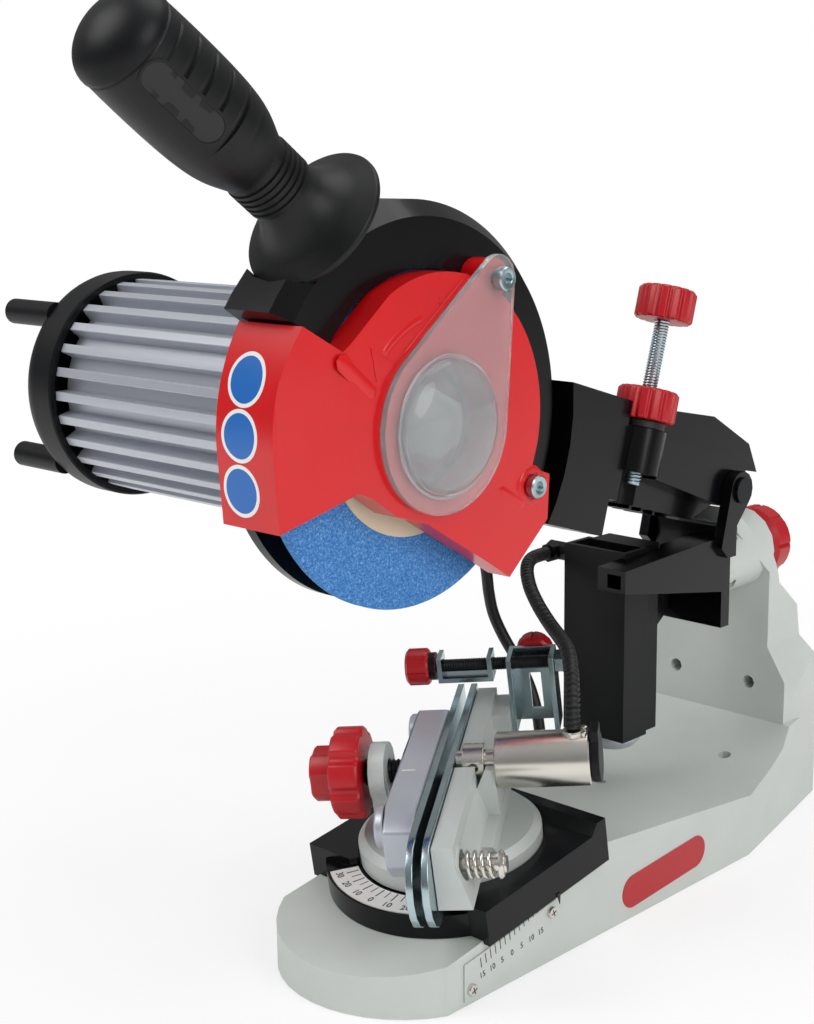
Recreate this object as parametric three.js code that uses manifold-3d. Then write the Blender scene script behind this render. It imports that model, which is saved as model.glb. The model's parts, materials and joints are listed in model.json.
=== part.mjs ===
// A tabletop chain sharpener: a grinding head on a sprung arm above a swivelling chain vise.
// Millimetres. x points to the operator's right, y to the back wall and z up.
// The origin lies on the stand's underside, midway between the vise's turning axis and the back.
import * as THREE from 'three';
import { mergeVertices } from 'three/addons/utils/BufferGeometryUtils.js';
import Module from 'manifold-3d';

const wasm = await Module();
wasm.setup();

// Fits shared by the whole machine.
const seatGap = 0.3;
const runGap = 0.5;
const overrun = 5;
const finePoint = 1e-4;

// Stand.
const benchPlace = 120;
const baseHalfWidth = 45.1;
const baseFrontBulge = 5.9;
const baseFrontRadius = baseHalfWidth + baseFrontBulge;
const baseFrontSetback = 28;
const baseSideEnd = 150;
const baseRearHalfWidth = 24.5;
const baseRear = 239;
const seatSlope = 9.03;
const seatHeight = 28;
const seatEnd = 42;
const deckStep = 4.5;
const deckRearHeight = 28.5;
const deckSag = 17;
const wallFace = 200;
const wallHalfWidth = 20;
const wallTopHalfWidth = 15;
const wallDepth = baseRear - wallFace;
const wallTopForward = 23;
const wallFootHalfWidth = 30;
const wallHiddenHalfWidth = baseHalfWidth - 1;
const wallFootHeight = 66;
const wallFootTaper = 16;
const tiltHeight = 128;
const wallAboveTilt = 24;
const wallHiddenShoulder = tiltHeight - 22;
const wallHeight = tiltHeight + wallAboveTilt;
const tiltBossRadius = 19;
const tiltBossFace = 167;
const tiltStudRadius = 5;
const tiltSeatRadius = 12;
const tiltSeatRear = 211;
const tiltKnobRadius = 17;
const tiltKnobDepth = 14;
const mountHoleRadius = 3.3;
const pocketHeight = 14;
const pocketHalfWidth = 22;
const pocketFront = -62;
const pocketRear = 34;

// Sloped slide and turntable.
const carriageRadius = 51.8;
const carriageThick = 9.8;
const carriageHalfWidth = 48.5;
const wingFront = -34;
const wingRear = 40;
const wingRise = 3.6;
const wingSkirt = 1.4;
const ridgeRise = 8;
const ridgeFront = 31;
const pivotHeight = 38.2;
const slideBoltRadius = 4;
const slideTravel = 36;
const slideNutRadius = 15;
const slideNutHeight = 9;
const tableRadius = 37.4;
const tableThick = 11;
const tableChamfer = 3;
const scaleInner = 39;
const scaleOuter = 50.6;
const scaleThick = 0.5;
const scaleSpan = 36;
const viseTurn = 34;

// Side scale of the slide.
const sideScaleFront = -43;
const sideScaleRear = 11;
const sideScaleDrop = 4;
const sideScaleWidth = 15;
const sideScaleThick = 0.6;
const sideScrewRadius = 2.4;
const sideScrewHead = 1.6;
const sideScrewInset = 3.6;

// Vise.
const clampHeight = 38.5;
const screwHeight = 35;
const clampKnobRadius = 18.6;
const clampKnobHub = 11.2;
const clampKnobFlange = 12;
const clampKnobLength = 21.5;
const clampScrewRadius = 5;
const clampClearance = 3;
const postFar = -28;
const postNear = -21.5;
const postHalfWidth = 9;
const postTop = 50;
const railThick = 2.8;
const railGap = 3;
const railFar = 67;
const railNear = 81;
const railTop = 41.5;
const railHeight = 36;
const railFarRise = 6;
const railLeftFace = -2.2;
const jawThick = 13;
const jawBottom = 14;
const jawBossSpread = 40;
const jawBossRadius = 8;
const jawBossHeight = 32;
const jawBossLength = 4;
const jawLength = 104;
const barThick = 8;
const barFlare = 5;
const barTop = 39.5;
const barBottom = 14;
const barFar = 66;
const barNear = 70;
const bodyFoot = 34;
const bodyWidth = 16;
const lugLength = 3.8;
const rodRadius = 4.2;
const collarRadius = 7;
const collarStart = 9.6;
const collarLength = 8.5;
const cylinderStart = 22.8;
const cylinderLength = 37.5;
const cylinderRadius = 11.2;
const cylinderWall = 3;
const capLength = 3.4;
const capEar = 2;
const portInset = 6.3;
const portLength = 1.2;
const capRadius = 10;
const guideSpread = 60;
const guideHeight = 27;
const guideRadius = 2.6;
const guideHeadRadius = 5.4;
const guideHeadLength = 2.6;
const guideBossRadius = 7.8;
const springSeatRadius = 5.9;
const springSeatDepth = 3;
const guideBossEnd = 15.4;
const springRadius = 4.6;
const springWire = 1.5;
const springCurls = 4;
const springPitch = 2.7;
const springSteps = 8;
const springSides = 5;

// Chain stop.
const stopPlace = 60;
const stopHeight = 53.5;
const stopRodRadius = 2.8;
const stopKnobStart = -22;
const stopKnobLength = 10;
const stopKnobRadius = 8;
const stopSpacerLength = 3;
const channelStart = -8.2;
const channelEnd = 15.5;
const channelHalf = 5.2;
const channelDrop = 6;
const sheetThick = 2;
const bracketStart = 22;
const bracketEnd = 42;
const bracketTop = 58;
const bracketBottom = 24;
const bracketDepth = 15;
const bracketSlot = 5;
const nutAcross = 5.2;
const nutLength = 4.4;
const rearStopRise = 5;
const rearStopLength = 9;
const rearStopRadius = 8;

// Tilting bracket.
const hingeY = 170;
const hingeRise = 35;
const hingeHeight = tiltHeight + hingeRise;
const hingePinRadius = 5;
const earOuter = 23;
const earInner = 18;
const earRadius = 8.6;
const pinCapRadius = 6;
const plateFront = 160;
const plateRear = 166.5;
const plateLeft = -22;
const plateRight = 20;
const plateTop = tiltHeight + tiltBossRadius;
const plateDrop = 28;
const plateBottom = tiltHeight - plateDrop;
const stopArmFront = 87.5;
const stopArmLeft = 5.3;
const stopArmRise = 12;
const stopArmTop = tiltHeight + stopArmRise;
const stopArmHeight = 10;
const stopArmRearRise = 15;
const stopArmRearTop = tiltHeight + stopArmRearRise;
const stopArmNotch = 18;
const stopArmRearDrop = 11;
const stopArmRearBottom = tiltHeight - stopArmRearDrop;
const stopArmWall = 2.4;
const columnCentre = -8.8;
const columnHalfWidth = 16.9;
const columnFront = 103.2;
const columnRear = 131.9;
const columnStep = 120.6;
const columnStepIn = 3;
const columnRise = 15;
const columnTop = tiltHeight + columnRise;
const columnHang = 71.5;
const columnBottom = tiltHeight - columnHang;
const columnWall = 2.6;
const columnWellDepth = 30;
const columnRib = 1.6;
const webHalf = 4;
const webDrop = 44;
const webBottom = tiltHeight - webDrop;
const webTop = tiltHeight;
const footRadius = 13;
const footLength = 7;
const columnWellRadius = 6;

// Arm, drawn level from the hinge and then raised.
const armRise = 17;
const armHalfWidth = 17.4;
const armLeft = -20;
const armInner = 8;
const armUnder = 17.5;
const armTopRear = 30.6;
const armTopFront = 25;
const armTail = 33;
const armTailShares = [[0.32, 1], [-0.667, 0.765], [-1, 0.382], [-0.364, 0.327]];
const armBoxRear = 68.5;
const armBoxRight = 15;
const armBoxDrop = 33;
const armRibs = 4;
const armRibPitch = 9;
const armRibThick = 1.8;
const armRibDrop = 1.6;
const cheekTop = 15;
const cheekBottom = -4;
const depthReach = 70;
const depthSide = 12.5;
const depthBoss = 11;
const depthRodRadius = 3.3;
const depthThreadRadius = 4.2;
const depthTip = -9;
const depthThreadTop = 16;
const depthKnobBottom = 62;
const depthKnobHeight = 14;
const depthKnobRadius = 12.5;
const washerRadius = 9.5;
const washerHeight = 3.2;
const lockKnobHeight = 13.5;
const lockKnobRadius = 13.2;
const knobFlutes = 15;
const knobFluteRadius = 1.3;

// Head, drawn about the wheel's axis.
const wheelReach = 201.3;
const wheelDrop = 5.8;
const wheelRadius = 71.5;
const wheelThick = 5;
const wheelSide = -1.5;
const wheelBore = 11;
const blotterRadius = 43.5;
const blotterThick = 0.8;
const flangeRadius = 25;
const flangeThick = 3;
const arborNutRadius = 9;
const arborNutLength = 7;
const coverGap = 1.2;
const coverWall = 2.3;
const coverBack = -20;
const coverSide = 19;
const coverRidge = 10;
const coverInner = 7.5;
const coverRoundRadius = 56.3;
const coverRoundStart = -24;
const coverRoundEnd = 118;
const coverNose = 40;
const coverNutHole = 22;
const screwSpread = 59.5;
const upperScrewTurn = 61.5;
const rearScrewTurn = -30.5;
const screwBossRadius = 7.5;
const headScrewRadius = 2.6;
const headScrewHead = 4.6;
const headScrewHeight = 4;
const guardClear = 2.1;
const guardWall = 8.4;
const guardInner = wheelRadius + guardClear;
const guardRadius = guardInner + guardWall;
const guardBack = -21.7;
const guardBackThick = 5;
const guardFront = 9;
const guardShoulder = 2;
const guardLipBevel = 6;
const guardLip = guardRadius - guardLipBevel;
const guardLipGap = 0.9;
const guardLipInner = coverRoundRadius + guardLipGap;
const guardLipThick = 2.7;
const guardStart = 146;
const guardEnd = -42;
const guardHub = 30;
const clearBack = 19.6;
const clearThick = 3;
const clearBigRadius = 33;
const clearTipRadius = 9;
const domeRadius = 25.3;
const domeRise = 9;
const domeWall = 2;

// Motor.
const plateBack = -28;
const plateHalf = 44;
const ringBack = -36;
const barrelBack = -160;
const barrelRadius = 46;
const barrelRoot = 40;
const barrelBore = 36;
const barrelFins = 28;
const finThick = 3.9;
const rearBack = -196;
const rearRadius = 49;
const rearRoundness = 24;
const rearWall = 3;
const postSpread = 45;
const postLength = 13;
const postRadius = 5.5;
const shaftRadius = 7;
const bearingRadius = 15;
const bearingWidth = 10;
const rotorRadius = 22;
const rotorStart = -52;
const rotorEnd = -140;
const statorRadius = 35.6;
const statorBore = 22.8;
const fanRadius = 34;
const fanThick = 8;
const fanBlades = 9;
const fanBladeThick = 1.6;

// Handle, drawn upright and then leaned forward.
const handleSide = -6;
const handleLean = 53.3;
const handleAhead = 38;
const handleUp = 74.8;
const handleFlangeRadius = 28.5;
const handleNeckRadius = 12.5;
const handleGripRadius = 18.7;
const handleGripLength = 98.8;
const handleCapLength = 13;
const handleBore = 5.3;
const handleBoreDepth = 40;
const handleStudRadius = 5;
const handleSeatRadius = 20;

// Lines.
const hoseRadius = 3.1;
const hoseRootRadius = 2.3;
const hoseBore = 1.5;
const hoseRibPitch = 2.2;
const hoseSides = 8;
const hoseBoreEvery = 5;
const cableRadius = 2.6;
const cableSides = 8;
const cableSteps = 30;

const glandRadius = 4.4;
const glandLength = 3.2;
const hoseRoute = [
  [44.8, 21.8, 93.5], [44.8, 20.8, 99.8], [44.2, 20.6, 105.6], [42.2, 21.9, 111.4], [38.9, 25, 116.3],
  [34.3, 29.9, 119.8], [28.8, 36.2, 121.4], [22.9, 43.2, 120.9], [16.9, 50.2, 119.3], [9.6, 57, 118.2],
  [1, 63.4, 118.2], [-8, 69.2, 119.8], [-17, 74.7, 122.5], [-29, 81.5, 128.5], [-34.1, 85.5, 131],
  [-38, 90.9, 133], [-40.5, 97.3, 134.2], [-41.2, 103.8, 134.6], [-41.2, 110, 134.6],
];
const cableRoute = [
  [-23.5, 73.4, 182], [-28.7, 73.4, 182], [-36.9, 73.4, 180.2], [-43.8, 73.4, 175.2], [-48.2, 73.4, 167.8],
  [-49.8, 73.4, 159.2], [-49.2, 73.6, 149.6], [-48, 74.2, 140], [-47.6, 75.6, 130.3], [-48.6, 78.2, 120.5],
  [-48.4, 81, 110.5], [-45.2, 83.6, 100.8], [-39.2, 85.3, 91.2], [-32.4, 86, 81], [-27.6, 86, 70],
  [-25.2, 86, 58], [-24.6, 86, 50], [-24.5, 86, 41.5],
];
const cableGlandReach = 4;
const armGlandRadius = 3.8;
const armGlandReach = 98;
const armGlandDrop = 10;

// Smoothness, in sides of a full turn.
const smallSides = 8;
const midSides = 16;
const bigSides = 28;

const greyPaint = new THREE.MeshStandardMaterial({ color: 0xd2d5d2, roughness: 0.5, metalness: 0.1 });
const castGrey = new THREE.MeshStandardMaterial({ color: 0xbfc1bd, roughness: 0.55, metalness: 0.3 });
const blackPaint = new THREE.MeshStandardMaterial({ color: 0x0b0b0d, roughness: 0.22, metalness: 0.2 });
const blackPlastic = new THREE.MeshStandardMaterial({ color: 0x16161a, roughness: 0.45, metalness: 0 });
const gripPlastic = new THREE.MeshStandardMaterial({ color: 0x121214, roughness: 0.55, metalness: 0 });
const redPaint = new THREE.MeshStandardMaterial({ color: 0xd8121a, roughness: 0.3, metalness: 0 });
const redPlastic = new THREE.MeshStandardMaterial({ color: 0xb5081c, roughness: 0.35, metalness: 0 });
const aluminium = new THREE.MeshStandardMaterial({ color: 0xb9bbbd, roughness: 0.4, metalness: 0.9 });
const zinc = new THREE.MeshStandardMaterial({ color: 0xa9bcc4, roughness: 0.28, metalness: 0.95 });
const steel = new THREE.MeshStandardMaterial({ color: 0xb5b0a4, roughness: 0.22, metalness: 1 });
const darkSteel = new THREE.MeshStandardMaterial({ color: 0x1c1d20, roughness: 0.4, metalness: 0.8 });
const abrasive = new THREE.MeshStandardMaterial({ color: 0x2f63b8, roughness: 0.95, metalness: 0 });
const paper = new THREE.MeshStandardMaterial({ color: 0xe0d3b6, roughness: 0.9, metalness: 0 });
const label = new THREE.MeshStandardMaterial({ color: 0xe9e9e6, roughness: 0.5, metalness: 0 });
const rubber = new THREE.MeshStandardMaterial({ color: 0x101012, roughness: 0.7, metalness: 0 });
const copper = new THREE.MeshStandardMaterial({ color: 0x9a5a32, roughness: 0.5, metalness: 0.7 });
const clearPlastic = new THREE.MeshStandardMaterial({
  color: 0xe8ecec, roughness: 0.12, metalness: 0, transparent: true, opacity: 0.4,
});

// Solids: every function returns a closed BufferGeometry.
function closed(geometry) {
  const plain = geometry.clone();
  plain.deleteAttribute('normal');
  plain.deleteAttribute('uv');
  const merged = mergeVertices(plain, finePoint);
  return new wasm.Manifold(new wasm.Mesh({
    numProp: 3,
    vertProperties: Float32Array.from(merged.attributes.position.array),
    triVerts: Uint32Array.from(merged.index.array),
  }));
}

function opened(solid) {
  const mesh = solid.getMesh();
  const geometry = new THREE.BufferGeometry();
  geometry.setAttribute('position', new THREE.BufferAttribute(Float32Array.from(mesh.vertProperties), 3));
  geometry.setIndex(new THREE.BufferAttribute(Uint32Array.from(mesh.triVerts), 1));
  return geometry;
}

function join(first, ...others) {
  let solid = closed(first);
  for (const other of others) {
    solid = solid.add(closed(other));
  }
  return opened(solid);
}

function cut(first, ...others) {
  let solid = closed(first);
  for (const other of others) {
    solid = solid.subtract(closed(other));
  }
  return opened(solid);
}

function common(first, ...others) {
  let solid = closed(first);
  for (const other of others) {
    solid = solid.intersect(closed(other));
  }
  return opened(solid);
}

function block(x0, x1, y0, y1, z0, z1) {
  const geometry = new THREE.BoxGeometry(x1 - x0, y1 - y0, z1 - z0);
  return geometry.translate((x0 + x1) / 2, (y0 + y1) / 2, (z0 + z1) / 2);
}

// An outline in the two other axes, taken in their cyclic order, drawn out along one axis.
function prism(axis, points, from, to) {
  const shape = new THREE.Shape(points.map(([a, b]) => new THREE.Vector2(a, b)));
  const geometry = new THREE.ExtrudeGeometry(shape, { depth: to - from, bevelEnabled: false });
  geometry.translate(0, 0, from);
  const turn = new THREE.Matrix4();
  if (axis === 'x') {
    turn.makeBasis(new THREE.Vector3(0, 1, 0), new THREE.Vector3(0, 0, 1), new THREE.Vector3(1, 0, 0));
  }
  if (axis === 'y') {
    turn.makeBasis(new THREE.Vector3(0, 0, 1), new THREE.Vector3(1, 0, 0), new THREE.Vector3(0, 1, 0));
  }
  return geometry.applyMatrix4(turn);
}

// A profile of radius and height turned about one axis through the frame's origin.
function turned(axis, profile, sides) {
  let area = 0;
  profile.forEach(([r, h], i) => {
    const [nextR, nextH] = profile[(i + 1) % profile.length];
    area += r * nextH - nextR * h;
  });
  const points = (area > 0 ? profile : [...profile].reverse()).map(([r, h]) => new THREE.Vector2(r, h));
  const geometry = new THREE.LatheGeometry(points, sides);
  if (axis === 'x') {
    geometry.rotateZ(-Math.PI / 2);
  }
  if (axis === 'z') {
    geometry.rotateX(Math.PI / 2);
  }
  return geometry;
}

function rod(axis, radius, from, to, sides = midSides) {
  return turned(axis, [[0, from], [radius, from], [radius, to], [0, to]], sides);
}

function tube(axis, radius, bore, from, to, sides = midSides) {
  return turned(axis, [[bore, from], [radius, from], [radius, to], [bore, to], [bore, from]], sides);
}

function arc(a, b, radius, fromDegrees, toDegrees, steps) {
  const points = [];
  for (let i = 0; i <= steps; i += 1) {
    const angle = THREE.MathUtils.degToRad(fromDegrees + ((toDegrees - fromDegrees) * i) / steps);
    points.push([a + radius * Math.cos(angle), b + radius * Math.sin(angle)]);
  }
  return points;
}

function add(group, name, geometry, material) {
  geometry.computeVertexNormals();
  const mesh = new THREE.Mesh(geometry, material);
  mesh.name = name;
  group.add(mesh);
}

function sine(degrees) {
  return Math.sin(THREE.MathUtils.degToRad(degrees));
}

function cosine(degrees) {
  return Math.cos(THREE.MathUtils.degToRad(degrees));
}

function tangent(degrees) {
  return Math.tan(THREE.MathUtils.degToRad(degrees));
}

function hexNut(axis, radius, bore, from, to) {
  return cut(rod(axis, radius, from, to, 6), rod(axis, bore, from - overrun, to + overrun));
}

// A round knob with flutes cut down its side.
function flutedKnob(axis, radius, from, to, flutes, fluteRadius) {
  const edge = fluteRadius;
  const body = turned(axis, [
    [0, from], [radius - edge, from], [radius, from + edge],
    [radius, to - edge], [radius - edge, to], [0, to],
  ], bigSides);
  const cutters = [];
  for (let i = 0; i < flutes; i += 1) {
    const angle = (i * 360) / flutes;
    const flute = rod(axis, fluteRadius, from - overrun, to + overrun, smallSides / 2);
    const a = (radius + fluteRadius / 2) * cosine(angle);
    const b = (radius + fluteRadius / 2) * sine(angle);
    if (axis === 'x') {
      flute.translate(0, a, b);
    }
    if (axis === 'y') {
      flute.translate(a, 0, b);
    }
    if (axis === 'z') {
      flute.translate(a, b, 0);
    }
    cutters.push(flute);
  }
  return cut(body, ...cutters);
}

const sharpener = new THREE.Group();
sharpener.name = 'chain_sharpener';

// Machine frame: x = 0 in the wheel's plane, y = 0 under the vise's turning axis.
const machine = new THREE.Group();
machine.position.y = -benchPlace;
sharpener.add(machine);

const seatRise = tangent(seatSlope);
const seatAt = (y) => seatHeight + y * seatRise;
const deckFront = seatAt(seatEnd) + deckStep;

// Slide frame: origin on the turning axis, z square to the sloped seat.
const slide = new THREE.Group();
slide.position.set(0, 0, pivotHeight);
slide.rotation.x = THREE.MathUtils.degToRad(seatSlope);
machine.add(slide);

// Shapes drawn in the slide frame and used on the stand.
function onSlope(geometry) {
  geometry.rotateX(THREE.MathUtils.degToRad(seatSlope));
  return geometry.translate(0, 0, pivotHeight);
}

function baseOutline() {
  const openAngle = THREE.MathUtils.radToDeg(Math.acos(baseHalfWidth / baseFrontRadius));
  return [
    ...arc(0, -baseFrontSetback, baseFrontRadius, -180 + openAngle, -openAngle, bigSides / 2),
    [baseHalfWidth, baseSideEnd],
    [baseRearHalfWidth, baseRear],
    [-baseHalfWidth, baseRear],
    [-baseHalfWidth, baseSideEnd],
  ];
}

function baseCasting() {
  const plan = baseOutline();
  const front = -baseFrontSetback - baseFrontRadius - overrun;
  const deck = prism('x', [
    [front, 0], [baseRear + overrun, 0], [baseRear + overrun, deckRearHeight + deckSag],
    [wallFace, deckRearHeight + deckSag],
    [wallFace - deckSag / 2, deckRearHeight + deckSag / 2],
    [wallFace - deckSag * 1.4, deckRearHeight + deckSag / 4],
    [baseSideEnd, deckRearHeight], [seatEnd, deckFront], [seatEnd, seatAt(seatEnd)], [front, seatAt(front)],
  ], -baseHalfWidth - overrun, baseHalfWidth + overrun);
  const floor = common(deck, prism('z', plan, 0, wallHeight));
  const wallShares = [
    [0, 0], [1, 0], [0.97, 0.434], [0.72, 0.546], [0.65, 0.645], [0.23, 0.737], [0.13, 0.829],
  ];
  const side = wallShares.map(([a, b]) => [wallFace + a * wallDepth, b * wallHeight]);
  const crownShares = [[-1, 1], [-1.2, 0.967], [-0.74, 0.895], [0, 0.78]];
  crownShares.forEach(([a, b]) => side.push([wallFace + a * wallTopForward, b * wallHeight]));
  const face = [
    [wallFootHalfWidth, 0], [wallFootHalfWidth, wallFootHeight],
    [wallHalfWidth, wallFootHeight + wallFootTaper],
    [wallHalfWidth, wallHeight * 0.78], [wallTopHalfWidth, wallHeight * 0.954],
    [wallTopHalfWidth, wallHeight + overrun],
  ];
  const hiddenFace = [
    [-wallTopHalfWidth, wallHeight + overrun], [-wallTopHalfWidth, wallHeight * 0.954],
    [-wallHiddenHalfWidth, wallHiddenShoulder], [-wallHiddenHalfWidth, 0],
  ];
  const faceOutline = [...face, ...hiddenFace].map(([x, z]) => [z, x]);
  const wall = common(
    prism('x', side, -baseHalfWidth - overrun, wallFootHalfWidth + overrun),
    prism('y', faceOutline, wallFace - wallTopForward * 2, baseRear + overrun),
    prism('z', plan, 0, wallHeight + overrun),
  );
  const boss = rod('y', tiltBossRadius, tiltBossFace, wallFace + overrun, midSides);
  const seat = rod('y', tiltSeatRadius, wallFace, tiltSeatRear, midSides);
  boss.translate(0, 0, tiltHeight);
  seat.translate(0, 0, tiltHeight);
  const bore = rod('y', tiltStudRadius + seatGap, 0, baseRear + overrun, midSides);
  bore.translate(0, 0, tiltHeight);
  const pocket = block(-pocketHalfWidth, pocketHalfWidth, pocketFront, pocketRear, -overrun, pocketHeight);
  const slotHalf = slideBoltRadius + seatGap;
  const slotDepth = pivotHeight + overrun;
  const slotPlan = [
    ...arc(0, -slideTravel, slotHalf, 180, 360, smallSides),
    ...arc(0, 0, slotHalf, 0, 180, smallSides),
  ];
  const slot = onSlope(prism('z', slotPlan, -slotDepth, 0));
  const [cableX, cableY, cableZ] = cableRoute[cableRoute.length - 1];
  const gland = rod('z', glandRadius, cableZ - seatGap - cableGlandReach * 2, cableZ - seatGap, smallSides);
  gland.translate(cableX, cableY, 0);
  const holes = [];
  const holePlaces = [
    [mountHoleRadius * 4, wallFace - deckSag * 1.4], [-mountHoleRadius * 3, seatEnd + deckSag * 4],
  ];
  for (const [x, y] of holePlaces) {
    const hole = rod('z', mountHoleRadius, -overrun, wallHeight, smallSides);
    holes.push(hole.translate(x, y, 0));
  }
  for (const x of [-wallHalfWidth * 1.6, wallHalfWidth / 2]) {
    const hole = rod('y', mountHoleRadius, wallFace - overrun, baseRear + overrun, smallSides);
    holes.push(hole.translate(x, 0, wallFootHeight * 0.95));
  }
  return cut(join(floor, wall, boss, seat, gland), bore, pocket, slot, ...holes);
}

add(machine, 'base_casting', baseCasting(), greyPaint);

// Printed plate of the slide, on the right flank of the stand.
function sideScale() {
  const outer = baseHalfWidth + seatGap / 2;
  const top = (y) => seatAt(y) - sideScaleDrop;
  return prism('x', [
    [sideScaleFront, top(sideScaleFront) - sideScaleWidth],
    [sideScaleRear, top(sideScaleRear) - sideScaleWidth],
    [sideScaleRear, top(sideScaleRear)],
    [sideScaleFront, top(sideScaleFront)],
  ], outer, outer + sideScaleThick);
}

add(machine, 'slide_scale', sideScale(), label);

for (const [name, y, rise] of [
  ['scale_screw_front', sideScaleFront + sideScrewInset, sideScaleWidth - sideScrewInset],
  ['scale_screw_rear', sideScaleRear - sideScrewInset, sideScrewInset],
]) {
  const foot = baseHalfWidth + sideScaleThick + seatGap;
  const head = rod('x', sideScrewRadius, foot, foot + sideScrewHead, smallSides);
  head.translate(0, y, seatAt(y) - sideScaleDrop - rise);
  add(machine, name, head, steel);
}

// Tilt pivot: a stud through the wall with a head before the bracket and a hand knob behind.
function tiltStud() {
  const headDepth = tiltStudRadius;
  const headFace = plateFront - seatGap;
  const stud = rod('y', tiltStudRadius, headFace - headDepth, tiltSeatRear + tiltKnobDepth / 2);
  const head = rod('y', tiltStudRadius * 1.7, headFace - headDepth, headFace, 6);
  return join(stud, head).translate(0, 0, tiltHeight);
}

add(machine, 'tilt_stud', tiltStud(), darkSteel);

function tiltKnob() {
  const face = tiltSeatRear + seatGap;
  const knob = flutedKnob('y', tiltKnobRadius, face, face + tiltKnobDepth, smallSides, knobFluteRadius * 2);
  const socketEnd = tiltSeatRear + tiltKnobDepth / 2 + seatGap;
  const socket = rod('y', tiltStudRadius + seatGap, face - overrun, socketEnd);
  return cut(knob, socket).translate(0, 0, tiltHeight);
}

add(machine, 'tilt_lock_knob', tiltKnob(), redPlastic);

// Carriage on the seat: a round front, two wings over the flanks and a ridge at the back.
function carriage() {
  const openAngle = THREE.MathUtils.radToDeg(Math.asin(-wingFront / carriageRadius));
  const plan = [
    ...arc(0, 0, carriageRadius, 180 + openAngle, 360 - openAngle, bigSides / 2),
    [carriageHalfWidth, wingFront], [carriageHalfWidth, wingRear],
    [-carriageHalfWidth, wingRear], [-carriageHalfWidth, wingFront],
  ];
  const plate = prism('z', plan, -carriageThick, 0);
  const wings = block(-carriageHalfWidth, carriageHalfWidth, wingFront, wingRear, -carriageThick, wingRise);
  const ridge = prism('x', [
    [ridgeFront, 0], [wingRear, 0], [wingRear, ridgeRise], [ridgeFront + wingRise, ridgeRise],
    [ridgeFront, wingRise],
  ], -carriageHalfWidth, carriageHalfWidth);
  const well = rod('z', tableRadius + seatGap * 2, 0, ridgeRise + overrun, bigSides);
  const scaleWell = prism('z', [
    ...arc(0, 0, scaleOuter + seatGap, -90 - scaleSpan, -90 + scaleSpan, midSides),
    ...arc(0, 0, tableRadius / 2, -90 + scaleSpan, -90 - scaleSpan, midSides / 2),
  ], -scaleThick, ridgeRise + overrun);
  const skirts = [-1, 1].map((side) => {
    const inner = side * (baseHalfWidth + seatGap);
    const outer = side * carriageHalfWidth;
    const low = -carriageThick - wingSkirt;
    return block(Math.min(inner, outer), Math.max(inner, outer), wingFront, wingRear, low, 0);
  });
  const hole = rod('z', slideBoltRadius + seatGap, -carriageThick - overrun, overrun);
  return cut(join(plate, wings, ridge, ...skirts), well, scaleWell, hole);
}

add(slide, 'carriage', carriage(), blackPaint);

function angleScale() {
  const span = scaleSpan - 1;
  return prism('z', [
    ...arc(0, 0, scaleOuter, -90 - span, -90 + span, midSides),
    ...arc(0, 0, scaleInner, -90 + span, -90 - span, midSides),
  ], -scaleThick + seatGap / 2, seatGap / 2);
}

add(slide, 'angle_scale', angleScale(), label);

function slideBolt() {
  const foot = -(pivotHeight - pocketHeight) - slideNutHeight * 0.4;
  return rod('z', slideBoltRadius, foot, tableThick - seatGap - slideBoltRadius / 2);
}

add(slide, 'slide_bolt', slideBolt(), steel);

function slideNut() {
  const face = -(pivotHeight - pocketHeight) / cosine(seatSlope) - slideNutRadius * seatRise - seatGap;
  const knob = flutedKnob('z', slideNutRadius, face - slideNutHeight, face, smallSides, knobFluteRadius);
  return cut(knob, rod('z', slideBoltRadius + seatGap, face - slideNutHeight - overrun, face + overrun));
}

add(slide, 'slide_nut', slideNut(), blackPlastic);

// Vise frame: x along the clamp axis toward the cylinder, y to the far end of the rails.
const vise = new THREE.Group();
vise.rotation.z = THREE.MathUtils.degToRad(viseTurn);
slide.add(vise);

const railLeftInner = railLeftFace + railThick;
const railRightFace = railLeftInner + railGap;
const railRightOuter = railRightFace + railThick;
const barFace = railRightOuter + seatGap;
const barOuter = barFace + barThick;
const bodyOuter = barFace + bodyWidth;

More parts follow.
